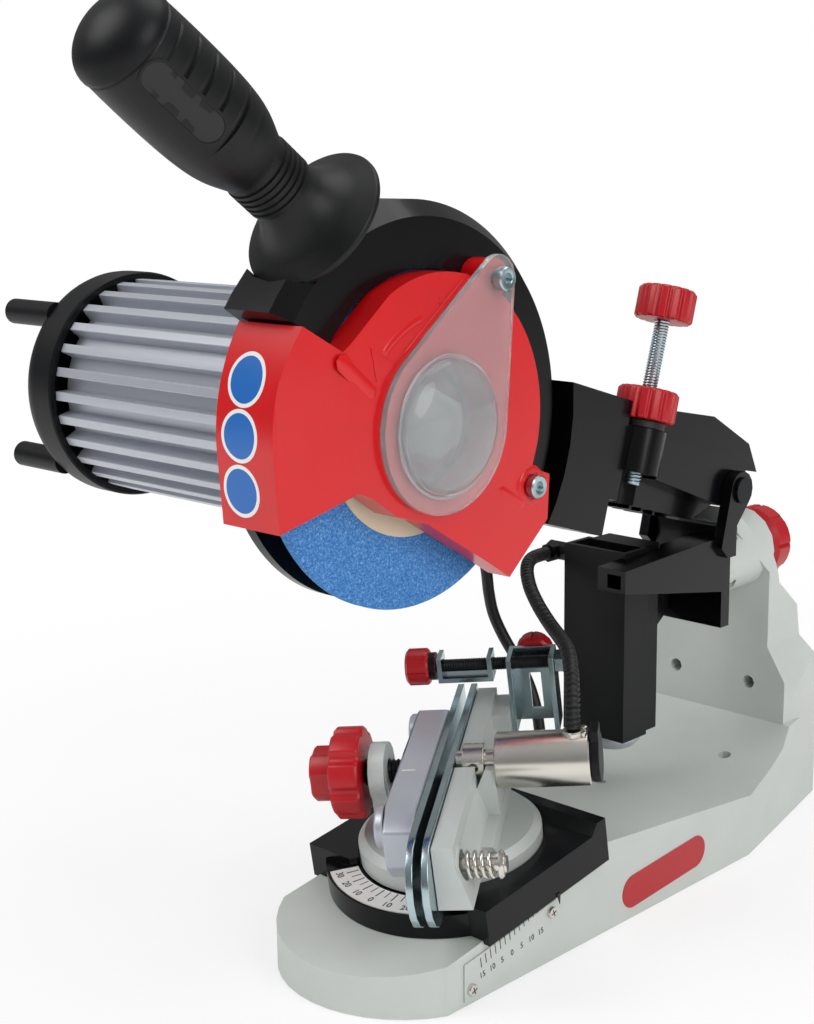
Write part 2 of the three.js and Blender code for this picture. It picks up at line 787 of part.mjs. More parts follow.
function viseCasting() {
  const table = turned('z', [
    [0, seatGap], [tableRadius, seatGap], [tableRadius, tableThick - tableChamfer],
    [tableRadius - tableChamfer, tableThick], [0, tableThick],
  ], bigSides);
  const boltHole = rod('z', slideBoltRadius + seatGap, -overrun, tableThick - slideBoltRadius / 2 + seatGap);
  const bar = prism('y', [
    [barBottom, barFace], [barTop, barFace], [barTop, barOuter],
    [barTop - barThick, barOuter], [barBottom, barOuter + barFlare],
  ], -barNear, barFar);
  const pedestal = prism('x', [
    [-bodyFoot * 0.7, tableThick - seatGap], [bodyFoot * 0.7, tableThick - seatGap],
    [bodyFoot, barBottom + barFlare], [-bodyFoot, barBottom + barFlare],
  ], barFace, bodyOuter);
  const lugStart = cylinderStart - seatGap - lugLength;
  const lug = prism('y', [
    [tableThick - tableChamfer, barFace], [tableThick - tableChamfer, cylinderStart - seatGap],
    [clampHeight, cylinderStart - seatGap], [clampHeight, lugStart], [barBottom, barFace],
  ], -cylinderRadius * 0.8, cylinderRadius * 0.8);
  const rodPath = rod('x', rodRadius + seatGap * 2, lugStart - overrun, cylinderStart + overrun);
  rodPath.translate(0, 0, clampHeight);
  const collarPath = rod('x', collarRadius + runGap, railRightFace, lugStart);
  collarPath.translate(0, 0, clampHeight);
  const guideBoss = rod('x', guideBossRadius, barFace, guideBossEnd);
  guideBoss.translate(0, -guideSpread, guideHeight);
  const guideHole = rod('x', guideRadius + seatGap, barFace - overrun, bodyOuter + overrun, smallSides);
  guideHole.translate(0, -guideSpread, guideHeight);
  const springSeat = rod('x', springSeatRadius, guideBossEnd - springSeatDepth, guideBossEnd + overrun);
  springSeat.translate(0, -guideSpread, guideHeight);
  const bracketPad = block(
    barFace, bracketStart - seatGap, stopPlace - bracketDepth, barFar, barBottom, bracketTop * 0.62,
  );
  const post = join(
    prism('y', [
      [tableThick - tableChamfer, postFar], [postTop - postHalfWidth, postFar],
      [postTop - postHalfWidth, postNear], [tableThick - tableChamfer, postNear + tableChamfer],
    ], -postHalfWidth, postHalfWidth),
    rod('x', postHalfWidth + tableChamfer, postFar, postNear).translate(0, 0, screwHeight),
  );
  const postHole = rod('x', clampScrewRadius + seatGap, postFar - overrun, postNear + overrun);
  postHole.translate(0, 0, screwHeight);
  return cut(
    join(table, bar, pedestal, lug, guideBoss, bracketPad, post),
    boltHole, rodPath, collarPath, guideHole, springSeat, postHole,
  );
}

add(vise, 'vise_casting', viseCasting(), castGrey);

// Rail plates with round ends; the near end lies at -y.
function rail(from) {
  const radius = railHeight / 2;
  const middle = railTop - radius;
  const outline = [
    ...arc(-railNear + radius, middle, radius, 90, 270, midSides / 2),
    [-railNear + radius * 2, railTop - railHeight],
    [-railNear + radius * 2 + railFarRise, railTop - railHeight + railFarRise],
    ...arc(railFar - radius / 2, middle - radius / 2 + railFarRise, radius / 2, -90, 0, smallSides / 2),
    [railFar, railTop],
  ];
  const plate = prism('x', outline, from, from + railThick);
  const hole = rod('x', rodRadius, from - overrun, from + railThick + overrun, smallSides);
  hole.translate(0, 0, clampHeight - railThick * 4);
  return cut(plate, hole);
}

add(vise, 'rail_left', rail(railLeftFace), zinc);
add(vise, 'rail_right', rail(railRightFace), zinc);

// Jaw block behind the left rail, with a round boss at each guide and a blind seat for the screw.
function jawBlock() {
  const back = railLeftFace - seatGap;
  const front = back - jawThick;
  const half = jawLength / 2;
  const shoulderShares = [
    [-1, 0.25], [-0.9, 0], [0.9, 0], [1, 0.25], [1, 0.8], [0.8, 1], [-0.8, 1], [-1, 0.8],
  ];
  const height = railTop - jawBottom;
  const body = prism('x', shoulderShares.map(([a, b]) => [a * half, jawBottom + b * height]), front, back);
  const relief = prism('x', [
    [-half * 0.45, railTop - height * 0.3], [half * 0.45, railTop - height * 0.3],
    [half * 0.45, railTop + overrun], [-half * 0.45, railTop + overrun],
  ], front - overrun, front - overrun / 2);
  const bosses = [-jawBossSpread, jawBossSpread].map((y) => {
    const boss = rod('x', jawBossRadius, front - jawBossLength, back - jawThick / 2);
    return boss.translate(0, y, jawBossHeight);
  });
  const seat = rod('x', clampScrewRadius + seatGap, front - overrun, front + jawThick * 0.6);
  seat.translate(0, 0, screwHeight);
  return cut(join(body, ...bosses), relief, seat);
}

add(vise, 'jaw_block', jawBlock(), aluminium);

const clampSeat = railLeftFace - seatGap - jawThick * 0.4;
const clampFace = postFar - clampClearance;

function clampScrew() {
  const screw = rod('x', clampScrewRadius, clampFace - clampKnobLength * 0.8, clampSeat - seatGap);
  return screw.translate(0, 0, screwHeight);
}

add(vise, 'clamp_screw', clampScrew(), darkSteel);

function clampKnob() {
  const back = clampFace;
  const hub = flutedKnob(
    'x', clampKnobHub, back - clampKnobLength, back, smallSides / 2, knobFluteRadius * 1.5,
  );
  const flange = flutedKnob(
    'x', clampKnobRadius, back - clampKnobFlange, back, smallSides, knobFluteRadius * 2,
  );
  const socket = rod('x', clampScrewRadius + seatGap, back - clampKnobLength * 0.8 - seatGap, back + overrun);
  return cut(join(hub, flange), socket).translate(0, 0, screwHeight);
}

add(vise, 'clamp_knob', clampKnob(), redPlastic);

// Hydraulic cylinder: a bored tube, its rod with a collar, and the end cap with the hose port.
function cylinderBody() {
  const end = cylinderStart + cylinderLength;
  const body = rod('x', cylinderRadius, cylinderStart, end, bigSides);
  const bore = rod('x', cylinderRadius - cylinderWall, cylinderStart + cylinderWall, end + overrun, midSides);
  const wallEnd = cylinderStart + cylinderWall + overrun;
  const rodHole = rod('x', rodRadius + seatGap, cylinderStart - overrun, wallEnd);
  const portTop = cylinderRadius + portLength;
  const port = rod('z', glandRadius, cylinderRadius - cylinderWall / 2, portTop, smallSides);
  port.translate(end - portInset, 0, 0);
  return join(cut(body, bore, rodHole), port).translate(0, 0, clampHeight);
}

add(vise, 'cylinder_body', cylinderBody(), steel);

function pistonRod() {
  const start = railRightOuter + seatGap;
  const piston = cylinderStart + cylinderLength / 2;
  const shaft = rod('x', rodRadius, start, piston);
  const head = rod('x', cylinderRadius - cylinderWall - seatGap, piston, piston + cylinderWall * 2);
  return join(shaft, head).translate(0, 0, clampHeight);
}

add(vise, 'piston_rod', pistonRod(), steel);

function rodCollar() {
  const collar = tube('x', collarRadius, rodRadius + seatGap, collarStart, collarStart + collarLength);
  const setHole = rod('y', rodRadius / 2, -collarRadius - overrun, 0, smallSides);
  setHole.translate(collarStart + collarLength / 2, 0, 0);
  return cut(collar, setHole).translate(0, 0, clampHeight);
}

add(vise, 'rod_collar', rodCollar(), steel);

function cylinderCap() {
  const start = cylinderStart + cylinderLength + seatGap;
  const plate = rod('x', capRadius, start, start + capLength, midSides);
  const plugRadius = cylinderRadius - cylinderWall - seatGap;
  const plug = rod('x', plugRadius, start - capLength, start + seatGap, midSides);
  const ear = block(start, start + capLength, -capRadius / 2, capRadius / 2, 0, cylinderRadius + capEar);
  return join(plate, plug, ear).translate(0, 0, clampHeight);
}

add(vise, 'cylinder_cap', cylinderCap(), blackPlastic);

// Guide bolt of the right rail with its return spring.
function guideBolt() {
  const spring = springCurls * springPitch + springWire * 2;
  const seat = guideBossEnd + seatGap;
  const headStart = seat + spring + seatGap;
  const shank = rod('x', guideRadius, railRightOuter + seatGap, headStart + seatGap, smallSides);
  const head = rod('x', guideHeadRadius, headStart, headStart + guideHeadLength, midSides);
  return join(shank, head).translate(0, -guideSpread, guideHeight);
}

add(vise, 'guide_bolt', guideBolt(), steel);

// One unbroken tube wound about the bolt, its ends square to what they meet.
function springPath() {
  const steps = springCurls * springSteps;
  const points = [];
  for (let i = 0; i <= steps; i += 1) {
    const angle = (i * 2 * Math.PI) / springSteps;
    points.push(new THREE.Vector3(
      (springPitch * i) / springSteps,
      springRadius * Math.cos(angle),
      springRadius * Math.sin(angle),
    ));
  }
  const first = points[0].clone();
  const last = points[points.length - 1].clone();
  points.unshift(first.add(new THREE.Vector3(-springWire / 2, 0, 0)));
  points.push(last.add(new THREE.Vector3(springWire / 2, 0, 0)));
  return points;
}

function sweep(points, radii, sides, firstNormal) {
  const positions = [];
  const index = [];
  let normal = firstNormal.clone();
  points.forEach((point, i) => {
    const before = points[Math.max(i - 1, 0)];
    const after = points[Math.min(i + 1, points.length - 1)];
    const along = after.clone().sub(before).normalize();
    normal = normal.clone().addScaledVector(along, -normal.dot(along)).normalize();
    const side = along.clone().cross(normal);
    for (let k = 0; k < sides; k += 1) {
      const angle = (k * 2 * Math.PI) / sides;
      const spot = point.clone();
      spot.addScaledVector(normal, radii[i] * Math.cos(angle));
      spot.addScaledVector(side, radii[i] * Math.sin(angle));
      positions.push(spot.x, spot.y, spot.z);
    }
  });
  for (let i = 0; i + 1 < points.length; i += 1) {
    for (let k = 0; k < sides; k += 1) {
      const a = i * sides + k;
      const b = i * sides + ((k + 1) % sides);
      index.push(a, b, a + sides, b, b + sides, a + sides);
    }
  }
  return { positions, index };
}

function cappedTube(points, radii, sides, firstNormal) {
  const { positions, index } = sweep(points, radii, sides, firstNormal);
  const last = (points.length - 1) * sides;
  for (let k = 1; k + 1 < sides; k += 1) {
    index.push(0, k + 1, k, last, last + k, last + k + 1);
  }
  const geometry = new THREE.BufferGeometry();
  geometry.setAttribute('position', new THREE.Float32BufferAttribute(positions, 3));
  geometry.setIndex(index);
  return geometry;
}

function guideSpring() {
  const points = springPath();
  const radii = points.map(() => springWire / 2);
  const coil = cappedTube(points, radii, springSides, new THREE.Vector3(0, 0, 1));
  let least = Infinity;
  points.forEach((a, i) => {
    points.slice(i + springSteps / 2).forEach((b) => {
      least = Math.min(least, a.distanceTo(b) - springWire);
    });
  });
  console.log('least gap between spring curls, mm:', least.toFixed(2));
  return coil.translate(guideBossEnd + seatGap + springWire, -guideSpread, guideHeight);
}

add(vise, 'guide_spring', guideSpring(), steel);

// Chain stop: an upright bracket, a channel over the rails, and the screw that sets it.
function uprightBracket() {
  const half = bracketDepth / 2;
  const place = stopPlace;
  const outer = block(bracketStart, bracketEnd, place - half, place + half, bracketBottom, bracketTop);
  const inner = block(
    bracketStart + sheetThick, bracketEnd - sheetThick,
    place - half - overrun, place + half - sheetThick, bracketBottom - overrun, bracketTop + overrun,
  );
  const middle = (bracketStart + bracketEnd) / 2;
  const slot = block(
    middle - bracketSlot / 2, middle + bracketSlot / 2, place, place + half + overrun,
    bracketBottom + bracketSlot, bracketTop - bracketSlot * 2.4,
  );
  const pivot = rod('x', stopRodRadius + seatGap, bracketStart - overrun, bracketEnd + overrun, smallSides);
  pivot.translate(0, place, stopHeight);
  return cut(outer, inner, slot, pivot);
}

add(vise, 'stop_bracket', uprightBracket(), zinc);

function stopChannel() {
  const half = channelHalf;
  const low = stopHeight - channelDrop;
  const outer = block(channelStart, channelEnd, stopPlace - half, stopPlace + half, low, stopHeight + half);
  const inner = block(
    channelStart + sheetThick, channelEnd - sheetThick,
    stopPlace - half - overrun, stopPlace + half + overrun, low + sheetThick, stopHeight + half + overrun,
  );
  const pivot = rod('x', stopRodRadius + seatGap, channelStart - overrun, channelEnd + overrun, smallSides);
  pivot.translate(0, stopPlace, stopHeight);
  return cut(outer, inner, pivot);
}

add(vise, 'stop_channel', stopChannel(), zinc);

function stopScrew() {
  const end = bracketEnd + seatGap + nutLength * 2 + seatGap * 2;
  const screw = rod('x', stopRodRadius, stopKnobStart + stopKnobLength / 2, end, smallSides);
  return screw.translate(0, stopPlace, stopHeight);
}

add(vise, 'stop_screw', stopScrew(), darkSteel);

function stopKnob() {
  const end = stopKnobStart + stopKnobLength;
  const knob = flutedKnob('x', stopKnobRadius, stopKnobStart, end, smallSides, knobFluteRadius);
  const neck = rod('x', stopKnobRadius * 0.75, end - seatGap, end + stopSpacerLength, midSides);
  const socketStart = stopKnobStart + stopKnobLength / 2 - seatGap;
  const socket = rod('x', stopRodRadius + seatGap, socketStart, end + overrun, smallSides);
  return cut(join(knob, neck), socket).translate(0, stopPlace, stopHeight);
}

add(vise, 'stop_knob', stopKnob(), redPlastic);

function stopNut() {
  const start = bracketEnd + seatGap;
  const nut = hexNut('x', nutAcross, stopRodRadius + seatGap, start, start + nutLength);
  return nut.translate(0, stopPlace, stopHeight);
}

add(vise, 'stop_nut', stopNut(), zinc);

function rearStop() {
  const face = stopPlace + bracketDepth / 2 + seatGap;
  const middle = (bracketStart + bracketEnd) / 2;
  const knob = flutedKnob('y', rearStopRadius, face, face + rearStopLength, smallSides, knobFluteRadius);
  return knob.translate(middle, 0, bracketTop - rearStopRise);
}

add(vise, 'rear_stop_knob', rearStop(), redPlastic);

// Tilting bracket: back plate, two hinge ears and the hollow stop arm beside the column.
function tiltBracket() {
  const plate = block(plateLeft, plateRight, plateFront, plateRear, plateBottom, plateTop);
  const ears = [-1, 1].map((side) => {
    const outline = [
      ...arc(hingeY, hingeHeight, earRadius, -50, 150, smallSides),
      [plateFront - earRadius * 0.6, plateTop - earRadius],
      [plateFront, plateTop - earRadius * 1.6],
      [plateRear, plateTop - earRadius * 1.6],
      [plateRear, plateTop],
    ];
    const from = Math.min(side * earInner, side * earOuter);
    return prism('x', outline, from, from + earOuter - earInner);
  });
  const cheeks = [-1, 1].map((side) => {
    const from = Math.min(side * (armHalfWidth + seatGap), side * earOuter);
    const width = earOuter - armHalfWidth - seatGap;
    return block(from, from + width, plateFront, plateRear, plateTop - earRadius * 1.5, plateTop);
  });
  const bottom = stopArmTop - stopArmHeight;
  const outer = prism('x', [
    [stopArmFront, bottom], [plateFront + seatGap, stopArmRearBottom],
    [plateFront + seatGap, stopArmRearTop], [stopArmFront, stopArmTop],
  ], stopArmLeft, plateRight);
  const inner = prism('x', [
    [stopArmFront - overrun, bottom + stopArmWall],
    [plateFront - overrun, stopArmRearBottom + stopArmWall * 2],
    [plateFront - overrun, stopArmRearTop - stopArmWall * 2],
    [stopArmFront - overrun, stopArmTop - stopArmWall],
  ], columnCentre + columnHalfWidth + stopArmWall, plateRight - stopArmWall);
  const columnRoom = block(
    columnCentre - columnHalfWidth - seatGap, columnCentre + columnHalfWidth + seatGap,
    columnFront - seatGap, columnRear + seatGap, columnBottom, columnTop + overrun,
  );
  const pinHole = rod('x', hingePinRadius + seatGap, -earOuter - overrun, earOuter + overrun);
  pinHole.translate(0, hingeY, hingeHeight);
  const studHole = rod('y', tiltStudRadius + seatGap, plateFront - overrun, plateRear + overrun);
  studHole.translate(0, 0, tiltHeight);
  const headRoom = rod('y', tiltStudRadius * 1.7 + runGap, columnRear, plateFront, midSides);
  headRoom.translate(0, 0, tiltHeight);
  const bossRoom = rod('y', tiltBossRadius + runGap, plateRear, tiltBossFace + wallTopForward, midSides);
  bossRoom.translate(0, 0, tiltHeight);
  const body = join(plate, ...ears, ...cheeks, outer);
  return cut(body, inner, pinHole, studHole, headRoom, bossRoom, columnRoom);
}

add(machine, 'tilt_bracket', tiltBracket(), blackPaint);

// Column beside the stop arm: a housing open at the top, webbed back to the plate.
function columnHousing() {
  const left = columnCentre - columnHalfWidth;
  const right = columnCentre + columnHalfWidth;
  const plan = [
    [left, columnFront], [right, columnFront], [right, columnStep],
    [right - columnStepIn, columnStep], [right - columnStepIn, columnRear],
    [left + columnStepIn, columnRear], [left + columnStepIn, columnStep], [left, columnStep],
  ];
  const shell = prism('z', plan, columnBottom, columnTop);
  const well = block(
    left + columnWall, right - columnWall, columnFront + columnWall, columnStep - columnWall,
    columnTop - columnWellDepth, columnTop + overrun,
  );
  const ribs = [-1, 1].map((side) => {
    const x = columnCentre + side * columnWellRadius * 1.7;
    return block(
      x - columnRib / 2, x + columnRib / 2, columnFront + columnWall / 2, columnStep - columnWall / 2,
      columnTop - columnWellDepth - seatGap, columnTop - columnWall * 2,
    );
  });
  const web = prism('x', [
    [columnRear - seatGap, webBottom], [columnRear - seatGap, webTop],
    [plateFront - seatGap, webTop], [plateFront - seatGap, plateBottom + webHalf],
  ], columnCentre - webHalf * 2, columnCentre);
  const [elbowX, elbowFace, elbowHeight] = hoseRoute[hoseRoute.length - 1];
  const elbowPlace = elbowFace + seatGap + glandLength + glandRadius;
  const arm = rod('x', glandRadius, elbowX - glandRadius, left + columnWall / 2, smallSides);
  const nozzle = rod('y', glandRadius, elbowFace + seatGap, elbowPlace, smallSides);
  const elbow = join(arm.translate(0, elbowPlace, elbowHeight), nozzle.translate(elbowX, 0, elbowHeight));
  const socket = rod('z', columnWellRadius + seatGap, columnTop - columnWellDepth * 1.5, columnTop);
  socket.translate(columnCentre, (columnFront + columnStep) / 2, 0);
  const headRoom = rod('y', tiltStudRadius * 1.7 + runGap, columnRear, plateFront, midSides);
  headRoom.translate(0, 0, tiltHeight);
  return cut(join(cut(shell, well), ...ribs, web, elbow), socket, headRoom);
}

add(machine, 'column_housing', columnHousing(), blackPlastic);

function columnFoot() {
  const top = columnBottom - seatGap;
  const foot = turned('z', [
    [0, top - footLength], [footRadius - footLength / 2, top - footLength],
    [footRadius, top - footLength / 2], [footRadius, top], [0, top],
  ], midSides);
  return foot.translate(columnCentre, (columnFront + columnRear) / 2, 0);
}

add(machine, 'column_foot', columnFoot(), aluminium);

function hingePin() {
  const pin = rod('x', hingePinRadius, -earOuter - seatGap, earOuter + seatGap);
  const heads = [-1, 1].map((side) => {
    const a = side * (earOuter + seatGap);
    const b = side * (earOuter + seatGap + hingePinRadius / 4);
    return rod('x', pinCapRadius, Math.min(a, b), Math.max(a, b));
  });
  return join(pin, ...heads).translate(0, hingeY, hingeHeight);
}

add(machine, 'hinge_pin', hingePin(), darkSteel);

// Arm frame: origin on the hinge, the head lies ahead at -y.
const arm = new THREE.Group();
arm.position.set(0, hingeY, hingeHeight);
arm.rotation.x = THREE.MathUtils.degToRad(-armRise);
machine.add(arm);

function armCasting() {
  const tail = armTailShares.map(([a, b]) => [-a * armTail, b * armTopRear]);
  const knuckle = rod('x', earRadius, -armHalfWidth, armHalfWidth, midSides);
  const spine = prism('x', [
    [-armBoxRear, armTopFront], ...tail, [0, earRadius], [0, -earRadius],
    [-earRadius * 1.6, -armUnder], [-armBoxRear - overrun, -armUnder], [-armBoxRear - overrun, armTopFront],
  ], -armHalfWidth, armInner);
  const cheek = prism('x', [
    [-depthReach, cheekTop], [earRadius, cheekTop], [earRadius, earRadius / 2], [0, -earRadius],
    [-earRadius, -earRadius], [-depthReach, cheekBottom],
  ], armInner - seatGap, armHalfWidth);
  const boss = rod('z', depthBoss, cheekBottom, cheekTop);
  boss.translate(depthSide, -depthReach, 0);
  const bore = rod('z', depthThreadRadius + seatGap, cheekBottom - overrun, cheekTop + overrun);
  bore.translate(depthSide, -depthReach, 0);
  const reach = wheelReach - guardRadius;
  const front = block(
    armLeft, armBoxRight, -reach - guardRadius / 4, -armBoxRear, -armBoxDrop, armTopFront,
  );
  const guardRoom = rod('x', guardRadius + seatGap, armLeft - overrun, armBoxRight + overrun, bigSides * 1.5);
  guardRoom.translate(0, -wheelReach, -wheelDrop);
  const stopRoom = block(
    stopArmLeft - runGap, armBoxRight + overrun,
    -armBoxRear - stopArmNotch, 0,
    -armBoxDrop - overrun, -armUnder,
  );
  const bossRelief = rod('z', depthBoss + runGap, -armBoxDrop - overrun, cheekBottom);
  bossRelief.translate(depthSide, -depthReach, 0);
  const knobRelief = rod('z', lockKnobRadius + runGap, cheekTop, armTopRear + overrun);
  knobRelief.translate(depthSide, -depthReach, 0);
  const ribs = [];
  for (let i = 0; i < armRibs; i += 1) {
    const y = -armBoxRear + depthBoss + i * armRibPitch;
    const foot = -armUnder - armRibDrop;
    ribs.push(block(-armHalfWidth, armInner, y, y + armRibThick, foot, -armUnder + seatGap));
  }
  const pinHole = rod('x', hingePinRadius + seatGap, -armHalfWidth - overrun, armHalfWidth + overrun);
  const earRoom = [-1, 1].map((side) => {
    const a = side * (armHalfWidth + seatGap);
    const b = side * (earOuter + overrun);
    return rod('x', earRadius + runGap, Math.min(a, b), Math.max(a, b));
  });
  const gland = rod('x', armGlandRadius, armLeft - glandLength, armLeft + glandLength, smallSides);
  gland.translate(0, -armGlandReach, -armGlandDrop);
  const body = join(knuckle, spine, cheek, boss, front, gland, ...ribs);
  return cut(body, bore, guardRoom, stopRoom, bossRelief, knobRelief, pinHole, ...earRoom);
}

add(arm, 'arm_casting', armCasting(), blackPaint);

function depthRod() {
  const thread = rod('z', depthThreadRadius, depthTip, depthThreadTop);
  const stemTop = depthKnobBottom + depthKnobHeight / 2;
  const stem = rod('z', depthRodRadius, depthThreadTop - seatGap, stemTop, smallSides);
  return join(thread, stem).translate(depthSide, -depthReach, 0);
}

add(arm, 'depth_screw', depthRod(), zinc);

function depthKnob() {
  const knob = flutedKnob(
    'z', depthKnobRadius, depthKnobBottom, depthKnobBottom + depthKnobHeight, knobFlutes, knobFluteRadius,
  );
  const socketTop = depthKnobBottom + depthKnobHeight / 2 + seatGap;
  const socket = rod('z', depthRodRadius + seatGap, depthKnobBottom - overrun, socketTop, smallSides);
  return cut(knob, socket).translate(depthSide, -depthReach, 0);
}

add(arm, 'depth_knob', depthKnob(), redPlastic);

function lockWasher() {
  const washer = tube(
    'z', washerRadius, depthThreadRadius + seatGap, cheekTop + seatGap, cheekTop + seatGap + washerHeight,
  );
  return washer.translate(depthSide, -depthReach, 0);
}

add(arm, 'lock_washer', lockWasher(), rubber);

function lockKnob() {
  const bottom = cheekTop + washerHeight + seatGap * 2;
  const knob = flutedKnob('z', lockKnobRadius, bottom, bottom + lockKnobHeight, knobFlutes, knobFluteRadius);
  const bore = rod('z', depthThreadRadius + seatGap, bottom - overrun, bottom + lockKnobHeight + overrun);
  return cut(knob, bore).translate(depthSide, -depthReach, 0);
}

add(arm, 'lock_knob', lockKnob(), redPlastic);

// Head frame: origin on the wheel's axis, level again at rest.
const head = new THREE.Group();
head.position.set(0, -wheelReach, -wheelDrop);
head.rotation.x = THREE.MathUtils.degToRad(armRise);
arm.add(head);

const screwPlaces = {
  upper: [screwSpread * sine(90 - upperScrewTurn), screwSpread * sine(upperScrewTurn)],
  rear: [screwSpread * cosine(rearScrewTurn), screwSpread * sine(rearScrewTurn)],
};

// Guard: a back wall and a hood round the upper half of the wheel, closed at the arm.
function guardCasting() {
  const back = rod('x', wheelRadius - coverGap, guardBack, guardBack + guardBackThick, bigSides);
  const ring = turned('x', [
    [0, guardBack], [guardRadius, guardBack], [guardRadius, guardShoulder], [guardLip, guardFront],
    [guardLipInner, guardFront], [guardLipInner, guardFront - guardLipThick],
    [guardInner, guardFront - guardLipThick], [guardInner, guardBack + guardBackThick],
    [0, guardBack + guardBackThick],
  ], bigSides * 1.5);
  const sector = prism('x', [
    [0, 0], ...arc(0, 0, guardRadius * 1.5, guardEnd, guardStart, midSides),
  ], guardBack - overrun, guardFront + overrun);
  const hub = rod('x', guardHub, guardBack - overrun, guardBack + guardBackThick + overrun, midSides);
  const screwHoles = Object.values(screwPlaces).map(([y, z]) => {
    const holeStart = guardFront - guardLipThick - overrun;
    const hole = rod('x', headScrewRadius + seatGap, holeStart, guardFront + overrun, smallSides);
    return hole.translate(0, y, z);
  });
  const lean = THREE.MathUtils.degToRad(handleLean);
  const stem = rod('z', handleSeatRadius, -guardRadius / 3, -seatGap, midSides);
  const stud = rod('z', handleStudRadius, -seatGap * 2, handleBoreDepth - seatGap, midSides);
  const stemLimits = block(
    guardBack, guardShoulder, -guardRadius * 2, guardRadius, 0, guardRadius * 2,
  );
  const mount = join(
    common(stem.rotateX(lean).translate(handleSide, -handleAhead, handleUp), stemLimits),
    stud.rotateX(lean).translate(handleSide, -handleAhead, handleUp),
  );
  const flangeRoom = rod(
    'z', handleFlangeRadius + runGap, -seatGap, handleFlangeRadius, midSides,
  ).rotateX(lean).translate(handleSide, -handleAhead, handleUp);
  const wheelRoom = rod(
    'x', guardInner, guardBack + guardBackThick, guardFront - guardLipThick, bigSides,
  );
  const hood = cut(common(ring, sector), flangeRoom);
  return cut(join(hood, back, cut(mount, wheelRoom)), hub, ...screwHoles);
}

add(head, 'guard_casting', guardCasting(), blackPaint);

// Red cover: a round raised face, a nose that wraps the front of the wheel and a tail under the arm.
function sideCover() {
  const outer = wheelRadius + coverGap + coverWall;
  const faceShares = [
    [-0.973, -0.405], [-0.584, -0.253], [-0.491, -0.287], [-0.325, -0.404], [-0.116, -0.473],
    [0.324, -0.743], [0.507, -0.86], [0.815, -0.6], [0.83, -0.36],
  ];
  const lower = faceShares.map(([a, b]) => [a * outer, b * outer]);
  const face = prism('x', [
    ...lower,
    ...arc(0, 0, coverRoundRadius, coverRoundStart, coverRoundEnd, bigSides / 2),
    [-coverRoundRadius * 0.86, coverRoundRadius * 0.56],
    ...arc(0, 0, outer, guardStart + 0.6, 180, smallSides),
  ], coverInner, coverSide);
  const slopeCut = prism('z', [
    [coverSide + overrun, -outer - overrun], [coverRidge, -outer - overrun],
    [coverRidge, -outer + overrun / 2], [coverSide, -coverNose - overrun], [coverSide + overrun, -coverNose],
  ], -outer, outer);
  const nose = cut(
    prism('x', [
      [-outer * 0.62, -outer * 0.31], [-outer * 0.973, -outer * 0.405],
      [-outer, -outer * 0.02], ...arc(0, 0, outer, 180, guardStart + 0.6, smallSides),
      [-outer * 0.55, outer * 0.36],
    ], coverBack, coverRidge),
    rod('x', wheelRadius + coverGap, coverBack - overrun, coverInner, bigSides),
  );
  const bosses = Object.values(screwPlaces).map(([y, z]) => {
    const boss = rod('x', screwBossRadius, coverInner, coverSide, midSides);
    return boss.translate(0, y, z);
  });
  const nutHole = rod('x', coverNutHole, coverInner - overrun, coverSide + overrun, bigSides);
  const screwHoles = Object.values(screwPlaces).map(([y, z]) => {
    const hole = rod('x', headScrewRadius + seatGap, coverBack - overrun, coverSide + overrun, smallSides);
    return hole.translate(0, y, z);
  });
  const guardRoom = common(
    tube('x', guardRadius * 1.5, guardLipInner - seatGap, guardBack, guardFront + seatGap, bigSides),
    prism('x', [[0, 0], ...arc(0, 0, guardRadius * 1.6, guardEnd - 1, guardStart + 0.4, midSides)],
      guardBack - overrun, guardFront + overrun),
  );
  return cut(join(cut(face, slopeCut), nose, ...bosses), nutHole, guardRoom, ...screwHoles);
}

add(head, 'side_cover', sideCover(), redPaint);

// Clear guard: a teardrop plate hung on the upper screw, with a dome over the wheel's nut.
function clearGuard() {
  const [tipY, tipZ] = screwPlaces.upper;
  const lean = THREE.MathUtils.radToDeg(Math.atan2(tipZ, tipY));
  const taper = (clearBigRadius - clearTipRadius) / Math.hypot(tipY, tipZ);
  const open = THREE.MathUtils.radToDeg(Math.acos(taper));
  const outline = [
    ...arc(0, 0, clearBigRadius, lean + open, lean + 360 - open, bigSides),
    ...arc(tipY, tipZ, clearTipRadius, lean - open, lean + open, smallSides),
  ];
  const plate = prism('x', outline, clearBack, clearBack + clearThick);
  const face = clearBack + clearThick;
  const domeOuter = [[0, face + domeRise]];
  const domeInner = [[0, face + domeRise - domeWall]];
  for (let i = 1; i <= smallSides / 2; i += 1) {
    const angle = (i * 180) / smallSides;
    domeOuter.push([domeRadius * sine(angle), face + domeRise * cosine(angle)]);
    domeInner.push([(domeRadius - domeWall) * sine(angle), face + (domeRise - domeWall) * cosine(angle)]);
  }
  domeOuter.push([domeRadius, clearBack], [0, clearBack]);
  domeInner.push([domeRadius - domeWall, clearBack - overrun], [0, clearBack - overrun]);
  const dome = turned('x', domeOuter, bigSides);
  const hollow = turned('x', domeInner, bigSides);
  const hole = rod('x', headScrewRadius + seatGap, clearBack - overrun, face + overrun, smallSides);
  hole.translate(0, tipY, tipZ);
  return cut(join(plate, dome), hollow, hole);
}

add(head, 'clear_guard', clearGuard(), clearPlastic);

for (const [name, place, face] of [
  ['guard_screw', screwPlaces.upper, clearBack + clearThick + seatGap],
  ['cover_screw', screwPlaces.rear, coverSide + seatGap],
]) {
  const shank = rod('x', headScrewRadius, guardFront - guardLipThick + seatGap, face + seatGap, smallSides);
  const cap = rod('x', headScrewHead, face, face + headScrewHeight, smallSides);
  const hex = rod('x', headScrewHead / 2, face + headScrewHeight / 2, face + headScrewHeight + overrun, 6);
  add(head, name, cut(join(shank, cap), hex).translate(0, ...place), zinc);
}

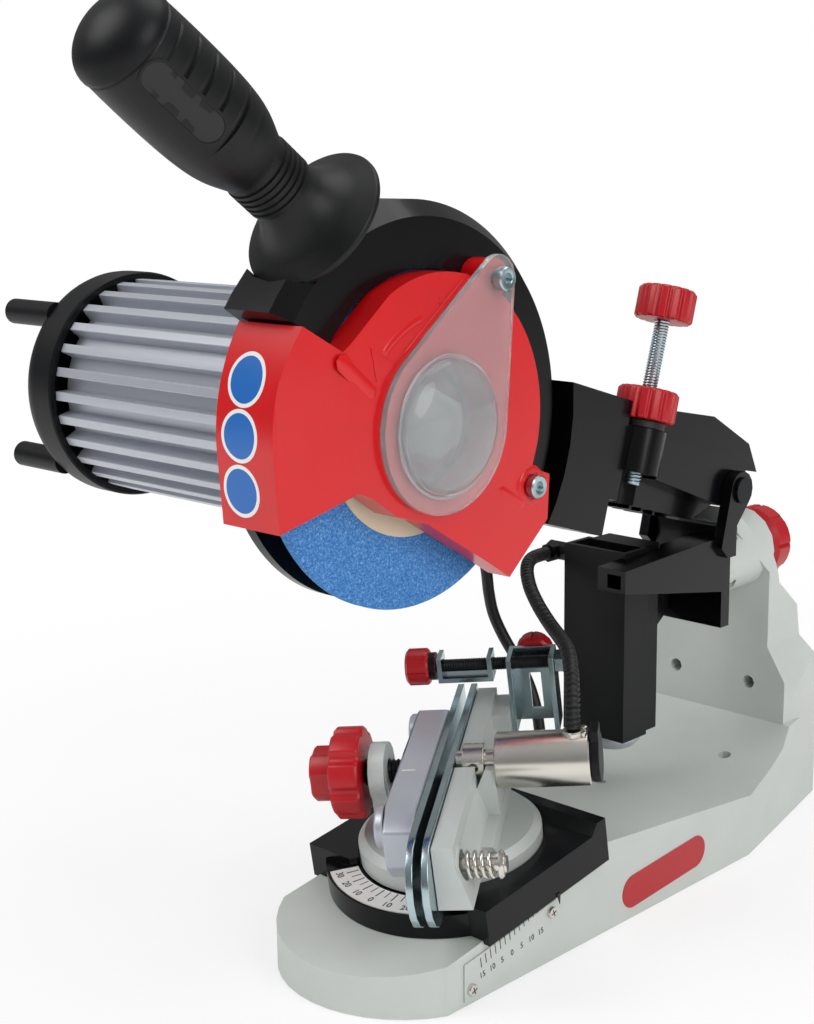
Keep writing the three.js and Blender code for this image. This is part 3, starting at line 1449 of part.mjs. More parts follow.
// Wheel stack on the shaft's end.
const wheelFace = wheelSide + wheelThick;

function grindingWheel() {
  const edge = wheelThick / 5;
  return turned('x', [
    [wheelBore, wheelSide], [wheelRadius - edge, wheelSide], [wheelRadius, wheelSide + edge],
    [wheelRadius, wheelFace - edge], [wheelRadius - edge, wheelFace], [wheelBore, wheelFace],
    [wheelBore, wheelSide],
  ], bigSides * 1.5);
}

add(head, 'grinding_wheel', grindingWheel(), abrasive);
add(head, 'paper_disc', tube(
  'x', blotterRadius, wheelBore, wheelFace + seatGap, wheelFace + seatGap + blotterThick, bigSides,
), paper);

const outerFlange = wheelFace + blotterThick + seatGap * 2;
add(head, 'outer_flange', tube(
  'x', flangeRadius - flangeThick * 1.2, wheelBore - flangeThick / 2, outerFlange, outerFlange + flangeThick,
), steel);
add(head, 'arbor_nut', hexNut(
  'x', arborNutRadius + flangeThick, shaftRadius + seatGap, outerFlange + flangeThick + seatGap,
  outerFlange + flangeThick + seatGap + arborNutLength,
), steel);

function motorShaft() {
  const shaftEnd = outerFlange + flangeThick + arborNutLength;
  const shaft = rod('x', shaftRadius, rearBack + rearRoundness / 2, shaftEnd);
  const collar = rod('x', flangeRadius, wheelSide - seatGap - flangeThick, wheelSide - seatGap);
  const pilot = rod('x', wheelBore - seatGap, wheelSide - seatGap * 2, outerFlange - seatGap);
  return join(shaft, collar, pilot);
}

add(head, 'motor_shaft', motorShaft(), steel);

// Motor behind the guard.
function mountPlate() {
  const half = plateHalf;
  const corner = half / 5;
  const outline = [
    [-half, -half + corner], [-half + corner, -half], [half - corner, -half], [half, -half + corner],
    [half, half - corner], [half - corner, half], [-half + corner, half], [-half, half - corner],
  ];
  const plate = prism('x', outline, plateBack, guardBack - seatGap);
  return cut(plate, rod('x', bearingRadius + seatGap, plateBack - overrun, guardBack + overrun));
}

add(head, 'mount_plate', mountPlate(), darkSteel);

function frontRing() {
  const face = plateBack - seatGap;
  const ring = tube('x', barrelRadius, shaftRadius + runGap * 2, ringBack, face, bigSides);
  const seat = rod('x', bearingRadius + seatGap, ringBack + bearingWidth / 4, face + overrun);
  return cut(ring, seat);
}

add(head, 'motor_front_ring', frontRing(), aluminium);

function motorBarrel() {
  const face = ringBack - seatGap;
  const body = tube('x', barrelRoot, barrelBore, barrelBack, face, bigSides);
  const fins = [];
  for (let i = 0; i < barrelFins; i += 1) {
    const fin = block(barrelBack, face, -finThick / 2, finThick / 2, barrelBore + finThick / 2, barrelRadius);
    fin.rotateX((i * 2 * Math.PI) / barrelFins);
    fins.push(fin);
  }
  return join(body, ...fins);
}

add(head, 'motor_barrel', motorBarrel(), aluminium);

function rearCover() {
  const face = barrelBack - seatGap;
  const bend = rearBack + rearRoundness;
  const outer = [[rearRadius, face], [rearRadius, bend]];
  const inner = [[rearRadius - rearWall, face + overrun], [rearRadius - rearWall, bend]];
  const bends = 3;
  for (let i = 1; i <= bends; i += 1) {
    const angle = (i * 90) / bends;
    outer.push([rearRadius * cosine(angle), bend - rearRoundness * sine(angle)]);
    inner.push([(rearRadius - rearWall) * cosine(angle), bend - (rearRoundness - rearWall) * sine(angle)]);
  }
  const hollow = turned('x', [[0, face + overrun], ...inner], bigSides);
  const shell = cut(turned('x', [[0, face], ...outer], bigSides), hollow);
  const carrier = rod('x', rearRadius - rearWall / 2, face - bearingWidth, face - bearingWidth / 2, bigSides);
  const seat = rod('x', bearingRadius + rearWall, face - bearingWidth * 1.2, face - bearingWidth / 2);
  const bore = rod('x', bearingRadius + seatGap, face - bearingWidth * 2, face + overrun);
  const vents = [];
  const ventCount = 4;
  for (let i = 0; i < ventCount; i += 1) {
    const vent = rod('x', bearingRadius / 2.5, face - bearingWidth * 2, face + overrun, 6);
    vent.translate(0, rearRadius * 0.65, 0);
    vent.rotateX((i * 2 * Math.PI) / ventCount);
    vents.push(vent);
  }
  const posts = [45, 135, 225, 315].map((angle) => {
    const post = rod('x', postRadius, rearBack - postLength, bend, smallSides);
    return post.translate(0, postSpread * cosine(angle), postSpread * sine(angle));
  });
  const carried = cut(join(carrier, seat), bore, ...vents);
  const trimmed = posts.map((post) => cut(post, turned('x', [[0, face + overrun], ...inner], bigSides)));
  return join(shell, carried, ...trimmed);
}

add(head, 'rear_cover', rearCover(), blackPlastic);

function bearing(start) {
  return tube('x', bearingRadius, shaftRadius + seatGap, start, start + bearingWidth);
}

add(head, 'bearing_front', bearing(ringBack + bearingWidth / 4 + seatGap), steel);
add(head, 'bearing_rear', bearing(barrelBack - seatGap - bearingWidth * 1.2), steel);

function statorCore() {
  return tube('x', statorRadius, statorBore, rotorEnd, rotorStart, bigSides);
}

add(head, 'stator_core', statorCore(), copper);

const rotor = tube('x', rotorRadius, shaftRadius + seatGap, rotorEnd, rotorStart, midSides);
add(head, 'rotor_core', rotor, darkSteel);

function coolingFan() {
  const start = barrelBack - seatGap - bearingWidth * 1.2 - seatGap * 6 - fanThick;
  const disc = rod('x', shaftRadius * 1.6, start, start + fanThick, midSides);
  const blades = [];
  for (let i = 0; i < fanBlades; i += 1) {
    const blade = block(
      start, start + fanThick, -fanBladeThick / 2, fanBladeThick / 2, shaftRadius, fanRadius * 0.85,
    );
    blade.rotateX((i * 2 * Math.PI) / fanBlades);
    blades.push(blade);
  }
  const bore = rod('x', shaftRadius + seatGap, start - overrun, start + fanThick + overrun);
  return cut(join(disc, ...blades), bore);
}

add(head, 'cooling_fan', coolingFan(), blackPlastic);

// Handle frame: origin at the flange, z along the grip.
const handle = new THREE.Group();
handle.position.set(handleSide, -handleAhead, handleUp);
handle.rotation.x = THREE.MathUtils.degToRad(handleLean);
head.add(handle);

function handleGrip() {
  const neck = handleNeckRadius;
  const grip = handleGripRadius;
  const length = handleGripLength;
  const profile = [[0, 0], [handleFlangeRadius, 0], [handleFlangeRadius, length * 0.02]];
  const flareShares = [[0.78, 0.06], [0.6, 0.1], [0.49, 0.14], [0.44, 0.18]];
  flareShares.forEach(([r, h]) => profile.push([handleFlangeRadius * r, length * h]));
  const rings = 3;
  for (let i = 0; i < rings; i += 1) {
    const base = length * (0.2 + 0.05 * i);
    profile.push([neck, base], [neck * 1.06, base + length * 0.02]);
  }
  const gripShares = [
    [0.7, 0.37], [0.84, 0.43], [0.95, 0.51], [0.98, 0.57], [0.95, 0.6], [1, 0.65],
    [0.97, 0.69], [1, 0.74], [0.97, 0.78], [1, 0.83], [0.96, 1],
  ];
  gripShares.forEach(([r, h]) => profile.push([grip * r, length * h]));
  profile.push([0, length]);
  const body = turned('z', profile, midSides);
  return cut(body, rod('z', handleBore, -overrun, handleBoreDepth, midSides));
}

add(handle, 'handle_grip', handleGrip(), gripPlastic);

function handleCap() {
  const start = handleGripLength + seatGap;
  const radius = handleGripRadius;
  const capShares = [[0.98, 0], [1, 0.2], [0.98, 0.5], [0.85, 0.8], [0.6, 0.97], [0, 1]];
  const outline = capShares.map(([r, h]) => [radius * r, start + h * handleCapLength]);
  return turned('z', [[0, start], ...outline], midSides);
}

add(handle, 'handle_cap', handleCap(), blackPlastic);

function routeCurve(route) {
  return new THREE.CatmullRomCurve3(route.map(([x, y, z]) => new THREE.Vector3(x, y, z)));
}

// Ribbed hose with its bore: two rings to a rib, a bore ring every few ribs.
function ribbedHose() {
  const curve = routeCurve(hoseRoute);
  const length = curve.getLength();
  const ribs = Math.round(length / hoseRibPitch / hoseBoreEvery) * hoseBoreEvery;
  curve.arcLengthDivisions = ribs * 4;
  const rings = ribs * 2;
  const outerPoints = [];
  const outerRadii = [];
  for (let i = 0; i <= rings; i += 1) {
    outerPoints.push(curve.getPointAt(i / rings));
    outerRadii.push(i % 2 === 0 ? hoseRootRadius : hoseRadius);
  }
  const borePoints = [];
  const boreRings = ribs / hoseBoreEvery;
  for (let i = 0; i <= boreRings; i += 1) {
    borePoints.push(curve.getPointAt(i / boreRings));
  }
  const normal = new THREE.Vector3(0, 1, 0);
  const outer = sweep(outerPoints, outerRadii, hoseSides, normal);
  const bore = sweep(borePoints, borePoints.map(() => hoseBore), hoseSides, normal);
  const offset = outer.positions.length / 3;
  const index = [...outer.index];
  for (let i = 0; i < bore.index.length; i += 3) {
    index.push(bore.index[i] + offset, bore.index[i + 2] + offset, bore.index[i + 1] + offset);
  }
  const outerLast = rings * hoseSides;
  const boreLast = offset + boreRings * hoseSides;
  for (let k = 0; k < hoseSides; k += 1) {
    const next = (k + 1) % hoseSides;
    index.push(offset + k, next, k, offset + k, offset + next, next);
    index.push(outerLast + k, outerLast + next, boreLast + k);
    index.push(outerLast + next, boreLast + next, boreLast + k);
  }
  const geometry = new THREE.BufferGeometry();
  const positions = new THREE.Float32BufferAttribute([...outer.positions, ...bore.positions], 3);
  geometry.setAttribute('position', positions);
  geometry.setIndex(index);
  return geometry;
}

add(machine, 'hydraulic_hose', ribbedHose(), rubber);

function motorCable() {
  const section = new THREE.Shape(arc(0, 0, cableRadius, 0, 360 - 360 / cableSides, cableSides - 1)
    .map(([a, b]) => new THREE.Vector2(a, b)));
  return new THREE.ExtrudeGeometry(section, {
    steps: cableSteps, bevelEnabled: false, extrudePath: routeCurve(cableRoute),
  });
}

add(machine, 'motor_cable', opened(closed(motorCable())), rubber);

export default sharpener;
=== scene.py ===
# %% [markdown]
# A chain sharpener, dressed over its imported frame.
# The frame holds every moving part at its real size, in metres. This file gives the parts their paint,
# plastic and metal, rounds their edges and adds the small details. Nothing here changes a size of the frame.

# %% Load the frame
import json
import math

import bmesh
import bpy
from mathutils import Matrix, Vector


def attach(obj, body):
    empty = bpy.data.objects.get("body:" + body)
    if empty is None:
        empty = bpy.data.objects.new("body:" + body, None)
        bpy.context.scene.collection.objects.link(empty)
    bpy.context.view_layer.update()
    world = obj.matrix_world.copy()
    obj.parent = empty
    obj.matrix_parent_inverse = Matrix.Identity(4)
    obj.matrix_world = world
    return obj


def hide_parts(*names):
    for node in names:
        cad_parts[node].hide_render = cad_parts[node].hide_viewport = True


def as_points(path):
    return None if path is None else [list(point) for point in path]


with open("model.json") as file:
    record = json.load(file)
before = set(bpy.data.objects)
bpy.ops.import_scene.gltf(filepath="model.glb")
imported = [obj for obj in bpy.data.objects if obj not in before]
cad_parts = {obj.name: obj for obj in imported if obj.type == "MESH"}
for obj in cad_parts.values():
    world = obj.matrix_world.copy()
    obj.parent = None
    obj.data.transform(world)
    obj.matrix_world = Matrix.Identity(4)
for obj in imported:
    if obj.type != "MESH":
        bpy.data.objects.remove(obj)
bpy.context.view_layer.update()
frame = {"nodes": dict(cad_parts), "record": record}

# %% [markdown]
# The machine is drawn in millimetres about its wheel plane, so each group of parts has its own small frame:
# the stand, the sloped slide, the vise turned on it, the raised arm, the level head and the leaning handle.
# Multiplying one matrix by the next places a shape that was drawn straight.

# %% Frames of the groups
MM = 0.001
SLIDE_ANGLE = 9.03  # degrees that the slide climbs towards the wall
ARM_ANGLE = 17  # degrees that the arm is raised at rest


def shift(x, y, z):
    return Matrix.Translation(Vector((x, y, z)) * MM)


def turn(axis, degrees):
    return Matrix.Rotation(math.radians(degrees), 4, axis)


MACHINE = shift(0, -120, 0)
SLIDE = MACHINE @ shift(0, 0, 38.2) @ turn("X", SLIDE_ANGLE)
VISE = SLIDE @ turn("Z", 34)
ARM = MACHINE @ shift(0, 170, 163) @ turn("X", -ARM_ANGLE)
HEAD = ARM @ shift(0, -201.3, -5.8) @ turn("X", ARM_ANGLE)
HANDLE = HEAD @ shift(-6, -38, 74.8) @ turn("X", 53.3)
print("wheel centre", tuple(round(v, 4) for v in HEAD.translation))

# %% [markdown]
# The camera repeats the photograph's view. Its place, its turn and its lens were solved from the straight
# edges and circles of the machine, so a point of the model falls on the same point of the picture.

# %% Camera
PICTURE_WIDTH, PICTURE_HEIGHT = 814, 1024
SENSOR = 36.0
FOCAL = 1714.0  # the lens, in pixels of the picture


def linked(name, data):
    """A new object in the scene."""
    thing = bpy.data.objects.new(name, data)
    bpy.context.scene.collection.objects.link(thing)
    return thing


camera_data = bpy.data.cameras.new("camera")
camera = linked("camera", camera_data)
camera_data.sensor_fit = "HORIZONTAL"
camera_data.sensor_width = SENSOR
camera_data.lens = SENSOR * FOCAL / PICTURE_WIDTH
camera_data.clip_end = 50
azimuth, pitch, roll = (math.radians(v) for v in (44.25, 12.05, -0.74))
flat = math.cos(pitch)
forward = Vector((-math.sin(azimuth) * flat, math.cos(azimuth) * flat, -math.sin(pitch)))
level = Vector((math.cos(azimuth), math.sin(azimuth), 0))
down = forward.cross(level)
across = level * math.cos(roll) - down * math.sin(roll)
below = down * math.cos(roll) + level * math.sin(roll)
camera.matrix_world = Matrix.Translation((0.4443, -0.5998, 0.3171)) @ Matrix(
    (across, -below, -forward)
).transposed().to_4x4()
bpy.context.scene.camera = camera
print("lens", round(camera_data.lens, 2), "mm")

# %% [markdown]
# The hose and the cable are soft, so each is one smooth curve through listed points.
# The hose leaves the vise's cylinder, arches back under the arm and ends in an elbow on the column.
# The cable leaves the arm's side, hangs in a loose bow and goes into the stand.

# %% Routes of the hose and the cable
hose_route = [
    (44.8, 21.8, 93.5), (44.6, 21.6, 98.6), (43.7, 22.6, 103.9), (41.6, 25, 109.1), (38, 28.9, 113.6),
    (33.2, 33.9, 116.5), (27.6, 39.5, 117.9), (21.3, 45.4, 118), (14.4, 51.5, 117.6), (7, 57.6, 117.5),
    (-1, 63.6, 118), (-9.5, 69.4, 119.7), (-18, 75, 122.3), (-26.4, 80.6, 126.2), (-33, 86.2, 130.2),
    (-37.8, 92.2, 133), (-40.5, 98.4, 134.3), (-41.2, 104.2, 134.6), (-41.2, 110, 134.6),
]
cable_route = [
    (-23.5, 73.4, 182), (-28.7, 73.4, 182), (-36.9, 73.4, 180.2), (-43.8, 73.4, 175.2), (-48.2, 73.4, 167.8),
    (-49.8, 73.4, 159.2), (-49.2, 73.6, 149.6), (-48, 74.2, 140), (-47.6, 75.6, 130.3), (-48.6, 78.2, 120.5),
    (-48.4, 81, 110.5), (-45.2, 83.6, 100.8), (-39.2, 85.3, 91.2), (-32.4, 86, 81), (-27.6, 86, 70),
    (-25.2, 86, 58), (-24.6, 86, 50), (-24.5, 86, 41.5),
]


def between(before, a, b, after, t):
    """A share t of the way from a to b, on the rounded curve through all four."""
    return 0.5 * (
        2 * a + (b - before) * t + (2 * before - 5 * a + 4 * b - after) * t * t
        + (3 * a - before - 3 * b + after) * t * t * t
    )


def smooth_path(route, step):
    """Points along a rounded curve through the route, step metres apart."""
    knots = [MACHINE @ (Vector(p) * MM) for p in route]
    knots = [knots[0] * 2 - knots[1], *knots, knots[-1] * 2 - knots[-2]]
    dense = []
    for four in zip(knots, knots[1:], knots[2:], knots[3:]):
        dense += [between(*four, k / 24) for k in range(24)]
    dense.append(knots[-2])
    lengths = [0.0]
    for a, b in zip(dense, dense[1:]):
        lengths.append(lengths[-1] + (b - a).length)
    count = max(2, round(lengths[-1] / step))
    points, k = [], 0
    for i in range(count + 1):
        want = lengths[-1] * i / count
        while k < len(lengths) - 2 and lengths[k + 1] < want:
            k += 1
        share = (want - lengths[k]) / (lengths[k + 1] - lengths[k])
        points.append(dense[k].lerp(dense[k + 1], min(1, share)))
    return points, lengths[-1]


def join_rings(shape, rings):
    """Faces between each ring of corners and the next one. A ring of one corner is a tip."""
    for first, second in zip(rings, rings[1:]):
        a, b = len(first), len(second)
        sides = max(a, b)
        for k in range(sides):
            n = (k + 1) % sides
            corners = list(dict.fromkeys((first[k % a], first[n % a], second[n % b], second[k % b])))
            if len(corners) > 2:
                shape.faces.new(corners)


def close_rings(shape, rings):
    """A closed body: rings joined, with a lid on both ends."""
    join_rings(shape, rings)
    shape.faces.new(list(reversed(rings[0])))
    shape.faces.new(rings[-1])


def add_tube(name, points, radii, sides, body):
    """A closed tube along points, with one radius for each point, as a piece that rides on a body."""
    shape = bmesh.new()
    normal = (points[1] - points[0]).orthogonal().normalized()
    rings = []
    for i, point in enumerate(points):
        along = (points[min(i + 1, len(points) - 1)] - points[max(i - 1, 0)]).normalized()
        normal = (normal - along * normal.dot(along)).normalized()
        side = along.cross(normal)
        ring = []
        for k in range(sides):
            angle = 2 * math.pi * k / sides
            spoke = normal * math.cos(angle) + side * math.sin(angle)
            ring.append(shape.verts.new(point + spoke * radii[i]))
        rings.append(ring)
    close_rings(shape, rings)
    mesh = bpy.data.meshes.new(name)
    shape.to_mesh(mesh)
    shape.free()
    mesh.shade_smooth()
    mesh.set_sharp_from_angle(angle=math.radians(50))
    piece = linked(name, mesh)
    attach(piece, body)
    return piece


# %% The hose and the cable themselves
HOSE_STEP, CABLE_STEP = 0.00028, 0.0015
RIB_PITCH, RIB_ROOT, RIB_HEIGHT = 0.0021, 0.00245, 0.00065
HOSE_THICKNESS, CABLE_THICKNESS = 0.0062, 0.0052
hose_points, hose_length = smooth_path(hose_route, HOSE_STEP)
cable_points, cable_length = smooth_path(cable_route, CABLE_STEP)
hose_radii = []
for i in range(len(hose_points)):
    wave = 0.5 - 0.5 * math.cos(2 * math.pi * i * hose_length / (len(hose_points) - 1) / RIB_PITCH)
    hose_radii.append(RIB_ROOT + RIB_HEIGHT * min(1.0, wave * 1.7))
cable_radii = [CABLE_THICKNESS / 2] * len(cable_points)
cords = []
for name, node, points, radii, length, thick in (
    ("hose_ribbed", "hydraulic_hose", hose_points, hose_radii, hose_length, HOSE_THICKNESS),
    ("cable_sheath", "motor_cable", cable_points, cable_radii, cable_length, CABLE_THICKNESS),
):
    piece = add_tube(name, points, radii, 20, "stand")
    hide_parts(node)
    tuple(points[0])
    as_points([tuple(p) for p in points[:: max(1, len(points) // 90)]] + [tuple(points[-1])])
    cords.append(piece)
print("hose", round(hose_length * 1000), "mm, cable", round(cable_length * 1000), "mm")

# %% [markdown]
# Finishes. Every finish is a small node tree on the Principled shader: an even base colour broken by soft
# noise, a roughness that wanders a little, and a fine bump. Glossy paint gets a clear coat, castings a
# grain, aluminium and steel fine lines along the part, and the wheel coarse grit in four blues.

# %% Helpers for finishes
def rgb(value):
    """A colour written as six hex digits, made linear."""
    parts = [int(value[i:i + 2], 16) / 255 for i in (0, 2, 4)]
    return tuple(v / 12.92 if v <= 0.04045 else ((v + 0.055) / 1.055) ** 2.4 for v in parts) + (1.0,)


def fill_node(tree, node, values=(), wires=()):
    """Gives a node's inputs their values and wires, each by the input's name or number."""
    for place, value in dict(values).items():
        node.inputs[place].default_value = value
    for place, source in dict(wires).items():
        tree.links.new(source, node.inputs[place])


def add_node(tree, kind, values=(), wires=(), **settings):
    """A new node of a tree, set up and filled."""
    node = tree.nodes.new(kind)
    for setting, value in settings.items():
        setattr(node, setting, value)
    fill_node(tree, node, values, wires)
    return node


def new_material(name):
    """A material, its tree, its main shader and the place of each point on the object."""
    material = bpy.data.materials.new(name)
    material.use_nodes = True
    tree = material.node_tree
    place = add_node(tree, "ShaderNodeTexCoord").outputs["Object"]
    return material, tree, tree.nodes["Principled BSDF"], place


def noise(tree, place, scale, detail):
    wanted = {"Scale": scale, "Detail": detail}
    return add_node(tree, "ShaderNodeTexNoise", wanted, {"Vector": place}).outputs["Fac"]


def shaded(tree, cloud, dark, light):
    """A colour between two shades."""
    wanted = {6: rgb(dark), 7: rgb(light)}
    return add_node(tree, "ShaderNodeMix", wanted, {0: cloud}, data_type="RGBA").outputs[2]


def spread(tree, cloud, low, high):
    """A value between two ends."""
    wanted = {"To Min": low, "To Max": high}
    return add_node(tree, "ShaderNodeMapRange", wanted, {"Value": cloud}).outputs["Result"]


def relief(tree, height, strength, distance):
    wanted = {"Strength": strength, "Distance": distance}
    return add_node(tree, "ShaderNodeBump", wanted, {"Height": height}).outputs["Normal"]


def finish(name, light, dark, rough, wander, metal=0.0, coat=0.0, patch=40, grain=900, bump=0.08,
           depth=0.0002, stretch=(1, 1, 1), specular=0.5):
    """A finish whose colour wanders between two shades, with a grained surface."""
    material, tree, shader, place = new_material(name)
    place = add_node(tree, "ShaderNodeMapping", {"Scale": stretch}, {"Vector": place}).outputs["Vector"]
    cloud = noise(tree, place, patch, 5)
    fill_node(tree, shader, {
        "Metallic": metal, "Coat Weight": coat, "Coat Roughness": 0.08, "Specular IOR Level": specular,
    }, {
        "Base Color": shaded(tree, cloud, dark, light),
        "Roughness": spread(tree, cloud, max(0.02, rough - wander), rough + wander),
        "Normal": relief(tree, noise(tree, place, grain, 3), bump, depth),
    })
    return material


# %% Paint, plastic and metal
finishes = {}
for name, light, dark, rough, wander, more in (
    ("grey_paint", "d0d5d0", "c2c8c3", 0.42, 0.05, {"grain": 1500, "bump": 0.16, "depth": 0.0003}),
    ("cast_grey", "cdd2cf", "b6bcb9", 0.40, 0.08, {"metal": 0.15, "grain": 1100, "bump": 0.3, "depth": 0.0004}),
    ("black_paint", "0a0a0d", "050507", 0.24, 0.05, {"coat": 0.12, "grain": 500, "bump": 0.05, "specular": 0.2}),
    ("red_paint", "de0a12", "cb080f", 0.3, 0.05, {"coat": 0.35, "grain": 420, "bump": 0.05, "specular": 0.35}),
    ("red_plastic", "c40f1c", "a60a15", 0.36, 0.06, {"bump": 0.12}),
    ("black_plastic", "121316", "0b0c0e", 0.4, 0.06, {"grain": 1600, "bump": 0.2, "specular": 0.22}),
    ("grip", "141517", "0c0d0e", 0.42, 0.06, {"grain": 2200, "bump": 0.3, "specular": 0.3}),
    ("aluminium", "cdd0d8", "b2b6bf", 0.38, 0.08,
     {"metal": 0.45, "grain": 700, "bump": 0.18, "stretch": (0.12, 1, 1)}),
    ("zinc", "c6d6da", "93a8ae", 0.24, 0.09, {"metal": 1.0, "patch": 90}),
    ("steel", "e4e2da", "cbc8be", 0.26, 0.05, {"metal": 1.0, "grain": 1200, "bump": 0.12, "stretch": (1, 0.25, 1)}),
    ("dark_steel", "26272a", "17181a", 0.34, 0.08, {"metal": 0.8, "grain": 1100, "bump": 0.15}),
    ("paper", "e2dac4", "d3c8ad", 0.9, 0.05, {"grain": 1600, "bump": 0.3, "specular": 0.2}),
    ("label", "f4f4f1", "e9eae6", 0.45, 0.05, {"grain": 1200, "bump": 0.05}),
    ("rubber", "17181a", "0e0f10", 0.5, 0.07, {"grain": 1500, "bump": 0.2}),
    ("copper", "a8683c", "7c4524", 0.45, 0.1, {"metal": 0.7, "bump": 0.3}),
    ("ink", "1c1c1e", "121214", 0.5, 0.05, {"grain": 1500, "bump": 0.05}),
    ("label_blue", "1c6fc4", "1763b4", 0.32, 0.04, {"grain": 1200, "bump": 0.05}),
    ("badge_red", "c0141f", "ab0f19", 0.3, 0.05, {"grain": 1200, "bump": 0.06}),
    ("white_line", "f6f6f4", "ececea", 0.4, 0.05, {"grain": 1200, "bump": 0.05}),
):
    finishes[name] = finish(name, light, dark, rough, wander, **more)
print(len(finishes), "finishes")


# %% Grit of the wheel and clear plastic
def grit():
    """Grains in four blues, from small cells mixed with fine noise."""
    material, tree, shader, place = new_material("grit")
    cells = add_node(tree, "ShaderNodeTexVoronoi", {"Scale": 2000}, {"Vector": place})
    cloud = add_node(tree, "ShaderNodeMath", {1: 0.62}, {0: noise(tree, place, 900, 6)}, operation="MULTIPLY")
    wires = {0: cells.outputs["Color"], 2: cloud.outputs[0]}
    blend = add_node(tree, "ShaderNodeMath", {1: 0.45}, wires, operation="MULTIPLY_ADD").outputs[0]
    ramp = add_node(tree, "ShaderNodeValToRGB", wires={"Fac": blend})
    stops = ((0.0, "1a4580"), (0.4, "3973b6"), (0.62, "5290d0"), (1.0, "b4d3f3"))
    while len(ramp.color_ramp.elements) < len(stops):
        ramp.color_ramp.elements.new(0.5)
    for element, (where, colour) in zip(ramp.color_ramp.elements, stops):
        element.position = where
        element.color = rgb(colour)
    fill_node(tree, shader, {"Roughness": 0.92, "Specular IOR Level": 0.25}, {
        "Base Color": ramp.outputs["Color"], "Normal": relief(tree, blend, 0.8, 0.0003),
    })
    return material


def clear_plastic():
    """Plastic that lets most light through, with a polish that wanders."""
    material, tree, shader, place = new_material("clear_plastic")
    cloud = noise(tree, place, 120, 6)
    fill_node(tree, shader, {"IOR": 1.3, "Transmission Weight": 0.86, "Coat Weight": 0.3}, {
        "Roughness": spread(tree, cloud, 0.06, 0.16),
        "Base Color": shaded(tree, cloud, "e6eaec", "f7f9fa"),
    })
    return material


finishes["abrasive"] = grit()
finishes["clear"] = clear_plastic()
print("grit and clear plastic made")

# %% [markdown]
# The frame's solids carry these finishes by their material slot. Most of the visible ones are also dressed:
# a copy of the solid is welded, its flat faces are joined, every hard edge gets a small round, and the
# shading is smoothed up to an angle. Real castings and pressings have such rounds, and they catch the light.

# %% Finishes on the frame's own solids
slot_of = {entry["node"]: entry["material_slot"] for entry in frame["record"]["subparts"]}
for node, solid in frame["nodes"].items():
    solid.data.materials.clear()
    solid.data.materials.append(finishes[slot_of[node]])
body_of_node = {n: body for body, nodes in frame["record"]["behaviour"]["bodies"].items() for n in nodes}
for piece in cords:
    piece.data.materials.append(finishes["rubber"])
print(len(slot_of), "solids painted")


# %% Rounded copies of solids
EDGE_LIMIT = 34  # degrees from which an edge counts as hard


def baked(piece):
    """The piece's shape with its modifiers worked in."""
    bpy.context.view_layer.update()
    mesh = bpy.data.meshes.new_from_object(piece.evaluated_get(bpy.context.evaluated_depsgraph_get()))
    old = piece.data
    piece.modifiers.clear()
    piece.data = mesh
    bpy.data.meshes.remove(old)


def soften(piece, width, steps, limit):
    """Rounds the hard edges of a piece and smooths its shading."""
    if width:
        bevel = piece.modifiers.new("round", "BEVEL")
        bevel.width = width * MM
        bevel.segments = steps
        bevel.limit_method = "ANGLE"
        bevel.angle_limit = math.radians(limit)
        bevel.use_clamp_overlap = True
        bevel.miter_outer = "MITER_ARC"
        baked(piece)
    piece.data.shade_smooth()
    piece.data.set_sharp_from_angle(angle=math.radians(limit))
    weigh = piece.modifiers.new("even", "WEIGHTED_NORMAL")
    weigh.keep_sharp = True
    baked(piece)


def made(name, shape, slot, place):
    """An object from a finished drawing, moved to its place, with its finish on it."""
    mesh = bpy.data.meshes.new(name)
    shape.to_mesh(mesh)
    shape.free()
    mesh.transform(place)
    mesh.materials.append(finishes[slot])
    return linked(name, mesh)


def tied(piece, nodes, body, slot):
    """Ties a piece to its body and hides the frame nodes that it stands for. The slot is not used."""
    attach(piece, body)
    if nodes:
        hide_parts(*nodes)


ALONG = {
    "X": Matrix(((0, 0, 1, 0), (1, 0, 0, 0), (0, 1, 0, 0), (0, 0, 0, 1))),
    "Z": Matrix(),
}
ARC_CUTS = 3  # new points on each chord of an arc
LEAST_REACH = 8  # an arc's smallest radius, in millimetres
SAME = 0.01  # millimetres within which two corners share an arc


def truly_round(shape, place, axis):
    """Splits the chords of every arc about an axis and moves the new points out onto the arc."""
    back = (place @ Matrix.Scale(MM, 4) @ ALONG[axis]).inverted()
    forth = back.inverted()
    chords, reaches = [], set()
    for edge in shape.edges:
        a, b = (back @ vert.co for vert in edge.verts)
        reach = a.xy.length
        if reach < LEAST_REACH or abs(reach - b.xy.length) > SAME or abs(a.z - b.z) > SAME:
            continue
        if 0.02 < a.xy.angle(b.xy) < math.radians(16):
            chords.append(edge)
            reaches.add(round(reach, 2))
    known = set(shape.verts)
    bmesh.ops.subdivide_edges(shape, edges=chords, cuts=ARC_CUTS)
    for vert in shape.verts:
        if vert in known:
            continue
        point = back @ vert.co
        near = [reach for reach in reaches if 0 <= reach - point.xy.length < reach * 0.01]
        if near:
            point.xy = point.xy.normalized() * min(near)
            vert.co = forth @ point
    return len(chords)


arcs_about = {
    "guard_casting": (HEAD, "X"), "side_cover": (HEAD, "X"), "mount_plate": (HEAD, "X"),
    "carriage": (SLIDE, "Z"), "slide_scale": (SLIDE, "Z"), "vise_casting": (VISE, "Z"),
}


